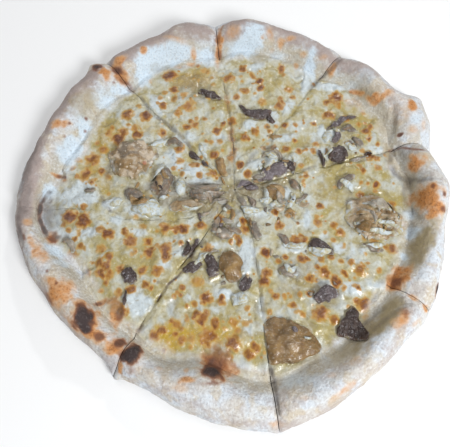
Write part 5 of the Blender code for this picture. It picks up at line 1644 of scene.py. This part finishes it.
def lay_dough(made, look):
    """Floury, toasted, scorched dough with painted shade, highlight and glints; colour, roughness,
    height.
    """
    mottle = made.noise(6.0, 3.0, 0.8)
    grain = made.noise(1.6, 3.0)
    made.colour = look.flour
    made.lay(made.graded(made.noise(21.0, 2.0, 0.5), 0.40, 0.62), look.dust)
    made.lay(made.graded(mottle, 0.46, 0.68, 0.0, 0.4), look.crumb)
    cream = made.graded(made.noise(13.0, 3.0, 1.0), 0.48, 0.66, 0.0, 0.55)
    made.lay(cream, (0.56, 0.46, 0.31))
    # Pink-brown crust where the blush marks lie; on the slopes turned from the key light it is
    # painted shade too.
    blush_and_shade = made.torn("blush_and_shade", 8.0, 0.7, 0.0, 1.0)
    made.lay(blush_and_shade, look.crumb, 0.95)
    greasy = made.torn("inner", 8.0, 0.9, 0.1, 1.0)
    made.lay(greasy, (0.48, 0.43, 0.30), 0.5)
    # Bluish white where the milk marks lie: milky cheese, and painted highlight on inner slopes
    # facing the key light.
    milk = made.torn("milk", 6.0, 0.5, 0.0, 0.75)
    made.lay(milk, (0.62, 0.72, 0.80))
    # Soaked dough where the damp marks lie, and painted shade on the rim's inner slopes turned
    # from the light.
    soaked = made.torn("damp_and_shade", 7.0, 0.5, 0.0, 0.9)
    made.lay(soaked, look.soaked)
    dark_grain = made.graded(grain, 0.50, 0.72, 0.0, 0.36)
    made.lay(dark_grain, (0.28, 0.21, 0.18))
    bare = made.maths("MAXIMUM", soaked, made.maths("MULTIPLY", blush_and_shade, 0.3))
    light_grain = made.graded(grain, 0.47, 0.32, 0.0, 0.42)
    made.lay(made.maths("SUBTRACT", light_grain, bare, clamp=True), (0.80, 0.82, 0.84))
    warm = made.torn("toast", 6.0, 0.4, 0.0, 0.8)
    made.lay(warm, (0.66, 0.37, 0.15), 0.75)
    brown = made.torn("toast", 3.0, 0.9, 0.3, 1.1)
    made.lay(brown, look.toast, 0.9)
    dots = made.graded(grain, 0.50, 0.66, 0.0, 0.5)
    made.lay(dots, (0.17, 0.055, 0.018), brown)
    singed = made.torn("char", 4.0, 0.35, 0.0, 0.6)
    made.lay(singed, (0.24, 0.085, 0.035), 0.9)
    burnt = made.torn("char", 4.0, 0.35, 0.25, 1.0)
    # Painted glints: grey specks inside the scorched patches.
    char_glints = made.graded(grain, 0.52, 0.68, 0.0, 0.45)
    made.lay(burnt, made.blend(char_glints, look.char, (0.13, 0.115, 0.115)), 0.95)
    rough = made.maths("MULTIPLY_ADD", soaked, -0.3, 0.8)
    height = made.maths("MULTIPLY_ADD", grain, 0.55, made.maths("MULTIPLY", mottle, 0.6))
    return made.colour, rough, height


def lay_cheese(made, look):
    """Melted cheese with oil, blisters, juice and painted shade; its colour, roughness and height.
    """
    broad = made.noise(17.0, 2.0, 0.8)
    mottle = made.noise(8.0, 1.5, 0.8)
    grain = made.noise(1.9, 2.5, 0.4)
    large = made.maths("MULTIPLY", made.maths("SUBTRACT", broad, 0.5), 1.5)
    small = made.maths("MULTIPLY", made.maths("SUBTRACT", mottle, 0.5), 1.2)
    milkiness = made.maths("ADD", made.maths("ADD", large, small), made.field("milk"))
    curd = made.graded(milkiness, -0.32, 0.78)
    made.colour = look.yellow
    made.lay(made.graded(broad, 0.56, 0.38), look.deep)
    made.lay(curd, look.milk)
    made.lay(made.torn("oil", 5.0, 0.6, 0.1, 1.0), look.oil)
    # Painted shade: darker olive in the low places of the mottle that also shapes the relief.
    hollow_shade = made.graded(mottle, 0.42, 0.27, 0.0, 0.6)
    made.lay(hollow_shade, (0.27, 0.22, 0.10))
    # Juice where the damp marks lie, and painted shade beside the mound and round toppings.
    made.lay(made.torn("damp_and_shade", 5.0, 0.7, 0.05, 0.9), look.wet, 0.68)
    glow = made.graded(grain, 0.54, 0.76, 0.0, 0.35)
    made.lay(glow, (0.68, 0.70, 0.65))
    shade = made.graded(grain, 0.46, 0.28, 0.0, 0.4)
    made.lay(shade, (0.26, 0.20, 0.10))
    made.lay(made.torn("brown", 3.5, 0.25, 0.0, 0.4), look.halo, 0.85)
    ripe = made.blend(made.graded(mottle, 0.42, 0.58), look.blister, (0.36, 0.15, 0.02))
    made.lay(made.torn("brown", 2.6, 0.35, 0.22, 0.8), ripe, 0.95)
    dark = made.torn("brown", 2.0, 0.55, 0.55, 1.1)
    made.lay(dark, (0.125, 0.035, 0.009))
    toast = made.torn("toast", 4.0, 0.5, 0.05, 0.95)
    made.lay(toast, (0.33, 0.17, 0.06))
    char = made.torn("char", 3.0, 0.5, 0.15, 0.85)
    made.lay(char, (0.075, 0.040, 0.028))
    rough = made.maths("MULTIPLY_ADD", curd, 0.08, 0.24)
    height = made.maths("MULTIPLY_ADD", grain, 0.3, made.maths("MULTIPLY", mottle, 0.7))
    return made.colour, rough, height


def baked_material(name, dough, cheese):
    """Dough and melted cheese, which run into each other where the cheese ends."""
    made = Finish(name)
    dough_colour, dough_rough, dough_height = lay_dough(made, dough)
    _, cheese_rough, cheese_height = lay_cheese(made, cheese)
    bare = made.torn("edge", 8.0, 1.1, 0.1, 0.9)
    made.lay(bare, dough_colour)
    # Painted shade where the shade marks and lines lie.
    shade = made.torn("shade", 5.0, 0.3, 0.0, 1.0)
    made.lay(shade, (0.105, 0.09, 0.085), 0.85)
    # cut walls and the baked underside
    wall = made.graded(made.field("wall"), 0.3, 0.7)
    crumb = made.graded(made.noise(1.5, 3.0), 0.4, 0.7)
    made.lay(wall, made.blend(crumb, (0.60, 0.52, 0.38), (0.36, 0.28, 0.17)))
    broad = made.noise(15.0, 3.0)
    baked = made.blend(made.graded(broad, 0.4, 0.6), (0.62, 0.47, 0.31), (0.40, 0.22, 0.10))
    leopard = made.torn(made.speckles(13.0, 0.5, 0.5), 3.0, 0.8, 0.3, 0.7)
    baked = made.blend(leopard, baked, (0.10, 0.045, 0.02))
    baked = made.blend(made.graded(broad, 0.52, 0.66, 0.0, 0.6), baked, (0.74, 0.68, 0.60))
    level = made.add("ShaderNodeSeparateXYZ", {"Vector": made.place}).outputs["Z"]
    made.lay(made.graded(level, 0.0009, 0.0001), baked)
    height = made.add("ShaderNodeMix", {0: bare, 2: cheese_height, 3: dough_height},
                      data_type="FLOAT")
    made.raise_by(height.outputs[0], 1.3)
    made.raise_by(made.noise(0.7, 3.0), 0.28, 0.8)
    drier = made.maths("MULTIPLY", bare, made.maths("SUBTRACT", dough_rough, cheese_rough))
    moist = made.maths("SUBTRACT", 1.0, bare, clamp=True)
    return made.done(
        made.maths("ADD", cheese_rough, drier, clamp=True), made.maths("MULTIPLY", moist, COAT))


def smear(made, cheese, share):
    """Lay on the cheese that has run over a topping."""
    edge = made.graded(made.field("rim"), 0.2, 1.0, 0.0, 0.4)
    melt = made.maths("SUBTRACT", made.noise(6.0, 3.0, 1.2), 0.5)
    melt = made.maths("ADD", made.maths("ADD", edge, melt), made.field("veil"))
    curd = made.graded(made.noise(5.0, 2.0, 0.6), 0.40, 0.62)
    over = made.blend(curd, cheese.yellow, cheese.milk)
    made.lay(made.graded(melt, 0.24, 0.64), over, share)


def streaks(made, length, width):
    """Noise that is drawn out along a topping; length and width in millimetres."""
    along = made.maths("DIVIDE", made.field("along"), length)
    over = made.maths("DIVIDE", made.field("over"), width)
    drawn = made.add("ShaderNodeCombineXYZ", {"X": along, "Y": over}).outputs["Vector"]
    inputs = {"Vector": drawn, "Scale": 1.0, "Detail": 2.0, "Distortion": 0.6}
    return made.add("ShaderNodeTexNoise", inputs).outputs["Fac"]


def mushroom_material(name, flesh, look, cheese):
    """Cooked mushroom flesh, paler or darker by piece, with fine wet wrinkles, painted shade in
    their creases.
    """
    made = Finish(name)
    mottle = made.noise(4.0, 3.0, 0.8)
    grain = made.noise(1.5, 2.5, 0.4)
    drawn = streaks(made, 9.0, 2.0)
    gills = made.field("gill")
    tone = made.field("tone")
    dark, light, deep = (
        tuple(min(1, share * channel) for channel in flesh) for share in FLESH_SHADES
    )
    made.colour = dark
    made.lay(made.graded(made.noise(9.0, 2.0, 0.6), 0.38, 0.60), flesh)
    made.lay(made.graded(mottle, 0.48, 0.66, 0.0, 0.6), look.browned)
    made.lay(made.graded(tone, 0.0, 1.0), look.pale)
    made.lay(made.graded(tone, 0.15, -0.75), look.truffle)
    puffy = made.maths("MULTIPLY", gills, -1.0, clamp=True)
    for mask, tint in (
        (made.graded(made.noise(9.0, 3.0, 0.8), 0.46, 0.62), (0.55, 0.46, 0.35)),
        (made.graded(made.noise(13.0, 2.0, 0.8), 0.54, 0.64), (0.17, 0.13, 0.09)),
        (made.speckles(7.0, 0.3, 0.3), (0.34, 0.11, 0.045)),
        (made.speckles(2.6, 0.35, 0.34), (0.66, 0.57, 0.45)),
    ):
        made.lay(mask, tint, puffy)
    lines = made.maths("MULTIPLY", made.graded(drawn, 0.50, 0.68), gills, clamp=True)
    made.lay(lines, light)
    # Painted shade: darker flesh in the creases of the drawn wrinkles.
    crease_shade = made.maths("MULTIPLY", made.graded(drawn, 0.48, 0.30), gills, clamp=True)
    made.lay(crease_shade, deep)
    smear(made, cheese, 0.8)
    glow = made.graded(grain, 0.56, 0.74, 0.0, 0.3)
    made.lay(glow, (0.60, 0.57, 0.52))
    shade = made.graded(grain, 0.44, 0.28, 0.0, 0.35)
    made.lay(shade, (0.10, 0.07, 0.04))
    wrinkles = made.maths("MULTIPLY_ADD", drawn, 0.6, made.maths("MULTIPLY", mottle, 0.6))
    made.raise_by(wrinkles, 0.9)
    made.raise_by(made.noise(0.9, 2.0), 0.22, 0.8)
    return made.done(made.graded(mottle, 0.3, 0.7, 0.32, 0.5), COAT / 2)


def truffle_material(look, cheese):
    """Near-black truffle with fine pale marbling, painted glints and a wet shine."""
    made = Finish("truffle shaving")
    mottle = made.noise(5.0, 3.0, 1.5)
    grain = made.noise(1.6, 2.5, 0.8)
    drawn = streaks(made, 6.0, 1.5)
    tone = made.field("tone")
    made.colour = look.truffle
    made.lay(made.graded(mottle, 0.38, 0.62), (0.062, 0.038, 0.030))
    veins = made.graded(drawn, 0.55, 0.70, 0.0, 0.6)
    made.lay(veins, (0.12, 0.10, 0.105))
    # Painted glints: pale grey specks, more on the paler pieces.
    glint_specks = made.graded(grain, 0.58, 0.70, 0.0, 0.7)
    made.lay(glint_specks, (0.42, 0.41, 0.44), made.graded(tone, -0.5, 0.1))
    made.lay(made.graded(tone, -0.1, 0.9), (0.22, 0.185, 0.20))
    tips = made.torn("rim", 3.0, 0.9, 0.4, 1.2)
    made.lay(tips, (0.15, 0.07, 0.04), 0.6)
    smear(made, cheese, 0.75)
    made.raise_by(made.maths("ADD", mottle, made.maths("MULTIPLY", drawn, 0.7)), 1.8)
    made.raise_by(made.noise(0.9, 2.0), 0.25, 0.9)
    return made.done(made.graded(mottle, 0.3, 0.7, 0.26, 0.42), COAT / 4)


def puff_material(cheese):
    """Puffed milky cheese, yellow in its folds."""
    made = Finish("puffed cheese")
    mottle = made.noise(3.6, 4.0, 1.0)
    grain = made.noise(1.3, 3.0, 0.4)
    made.colour = cheese.milk
    made.lay(made.graded(mottle, 0.58, 0.36, 0.0, 0.9), cheese.yellow)
    made.lay(made.torn("rim", 2.0, 1.0, 0.3, 1.1), cheese.yellow, 0.8)
    made.lay(made.torn("tone", 1.4, 0.8, 0.3, 0.7), cheese.blister)
    # Painted shade: darker in the low places of the fine grain, which also raises the relief.
    made.lay(made.graded(grain, 0.44, 0.28, 0.0, 0.4), (0.40, 0.32, 0.20))
    made.raise_by(made.maths("ADD", mottle, made.maths("MULTIPLY", grain, 0.4)), 1.2)
    return made.done(0.3)


# ---------------------------------------------------------------- operators


class PIZZA_OT_dough(bpy.types.Operator):
    """Model the eight wedges of baked dough"""

    bl_idname = "pizza.dough"
    bl_label = "Baked Dough"

    def execute(self, context):
        look = context.scene.pizza_dough
        material = baked_material("baked dough", look, context.scene.pizza_cheese)
        for number in range(SLICES):
            make_dough(number, material, look.relief)
        return {"FINISHED"}


class PIZZA_OT_cheese(bpy.types.Operator):
    """Melt the cheese over the eight slices"""

    bl_idname = "pizza.cheese"
    bl_label = "Melted Cheese"

    def execute(self, context):
        look = context.scene.pizza_cheese
        material = baked_material("melted cheese", context.scene.pizza_dough, look)
        for number in range(SLICES):
            make_melt(number, material, look.relief)
        return {"FINISHED"}


class PIZZA_OT_mushrooms(bpy.types.Operator):
    """Lay the tan and grey mushroom pieces on the cheese"""

    bl_idname = "pizza.mushrooms"
    bl_label = "Mushrooms"

    def execute(self, context):
        look, cheese = context.scene.pizza_toppings, context.scene.pizza_cheese
        lay_toppings("tan", mushroom_material("tan mushroom", look.tan, look, cheese))
        lay_toppings("grey", mushroom_material("grey mushroom", look.grey, look, cheese))
        return {"FINISHED"}


class PIZZA_OT_truffles(bpy.types.Operator):
    """Lay the dark truffle shavings on the cheese"""

    bl_idname = "pizza.truffles"
    bl_label = "Truffle Shavings"

    def execute(self, context):
        scene = context.scene
        lay_toppings("truffle", truffle_material(scene.pizza_toppings, scene.pizza_cheese))
        return {"FINISHED"}


class PIZZA_OT_puffs(bpy.types.Operator):
    """Lay the puffed patches of cheese"""

    bl_idname = "pizza.puffs"
    bl_label = "Puffed Cheese"

    def execute(self, context):
        scene = context.scene
        lay_toppings("puff", puff_material(scene.pizza_cheese))
        return {"FINISHED"}


class PIZZA_OT_scattered(bpy.types.Operator):
    """Scatter chopped mushroom, truffle and curds in and round the middle"""

    bl_idname = "pizza.scattered"
    bl_label = "Chopped Pieces"

    def execute(self, context):
        names = {"tan": "tan mushroom", "grey": "grey mushroom", "puff": "puffed cheese",
                 "truffle": "truffle shaving"}
        scatter_pieces({finish: bpy.data.materials[name] for finish, name in names.items()})
        return {"FINISHED"}


class PIZZA_OT_stage(bpy.types.Operator):
    """Set the pale floor, soft studio light and camera"""

    bl_idname = "pizza.stage"
    bl_label = "Stage"

    def execute(self, context):
        look = context.scene.pizza_stage
        scene = context.scene
        shape = bmesh.new()
        bmesh.ops.create_grid(shape, x_segments=1, y_segments=1, size=FLOOR_SIZE / 2)
        bmesh.ops.translate(shape, verts=shape.verts, vec=(0, 0, FLOOR_LEVEL))
        floor = bpy.data.objects.new("floor", mesh_of(shape, "floor"))
        made = Finish("pale floor")
        made.colour = look.floor
        floor.data.materials.append(made.done(FLOOR_ROUGHNESS))
        scene.collection.objects.link(floor)

        world = bpy.data.worlds.new("studio")
        world.use_nodes = True
        background = world.node_tree.nodes["Background"]
        background.inputs["Color"].default_value = SURROUNDING_COLOUR
        background.inputs["Strength"].default_value = look.fill
        scene.world = world
        for name, place, size, share, colour in LIGHTS:
            lamp = bpy.data.lights.new(name, "AREA")
            lamp.shape = "DISK"
            lamp.size = size
            lamp.energy = look.key * share
            lamp.color = colour
            light = bpy.data.objects.new(name, lamp)
            light.location = place
            light.rotation_euler = (-Vector(place)).to_track_quat("-Z", "Y").to_euler()
            scene.collection.objects.link(light)

        lens = bpy.data.cameras.new("camera")
        lens.lens = VIEW_LENS
        lens.sensor_width = SENSOR_WIDTH
        camera = bpy.data.objects.new("camera", lens)
        camera.location = VIEW_POINT
        aim = Vector(VIEW_AIM) - Vector(VIEW_POINT)
        camera.rotation_euler = aim.to_track_quat("-Z", "Y").to_euler()
        scene.collection.objects.link(camera)
        scene.camera = camera
        scene.view_settings.view_transform = "Standard"
        return {"FINISHED"}


class PIZZA_PT_pieces(bpy.types.Panel):
    """Steps that dress the pizza, in order"""

    bl_label = "Pizza"
    bl_space_type = "VIEW_3D"
    bl_region_type = "UI"
    bl_category = "Pizza"

    def draw(self, context):
        for operator in OPERATORS:
            self.layout.operator(operator.bl_idname)
        for name in SETTINGS:
            box = self.layout.box()
            group = getattr(context.scene, name)
            for label in group.__annotations__:
                box.prop(group, label)


OPERATORS = (
    PIZZA_OT_dough,
    PIZZA_OT_cheese,
    PIZZA_OT_mushrooms,
    PIZZA_OT_truffles,
    PIZZA_OT_puffs,
    PIZZA_OT_scattered,
    PIZZA_OT_stage,
)
SETTINGS = {
    "pizza_dough": DoughSettings,
    "pizza_cheese": CheeseSettings,
    "pizza_toppings": ToppingSettings,
    "pizza_stage": StageSettings,
}


def register():
    """Register the settings, steps and panel."""
    for made in (*SETTINGS.values(), *OPERATORS, PIZZA_PT_pieces):
        bpy.utils.register_class(made)
    for name, made in SETTINGS.items():
        setattr(bpy.types.Scene, name, PointerProperty(type=made))


def unregister():
    """Take them off again."""
    for name in SETTINGS:
        delattr(bpy.types.Scene, name)
    for made in (PIZZA_PT_pieces, *reversed(OPERATORS), *SETTINGS.values()):
        bpy.utils.unregister_class(made)


def main():
    """Dress the pizza step by step."""
    register()
    bpy.ops.pizza.dough()
    bpy.ops.pizza.cheese()
    bpy.ops.pizza.mushrooms()
    bpy.ops.pizza.truffles()
    bpy.ops.pizza.puffs()
    bpy.ops.pizza.scattered()
    bpy.ops.pizza.stage()
    bpy.context.view_layer.update()


if __name__ == "__main__":
    main()
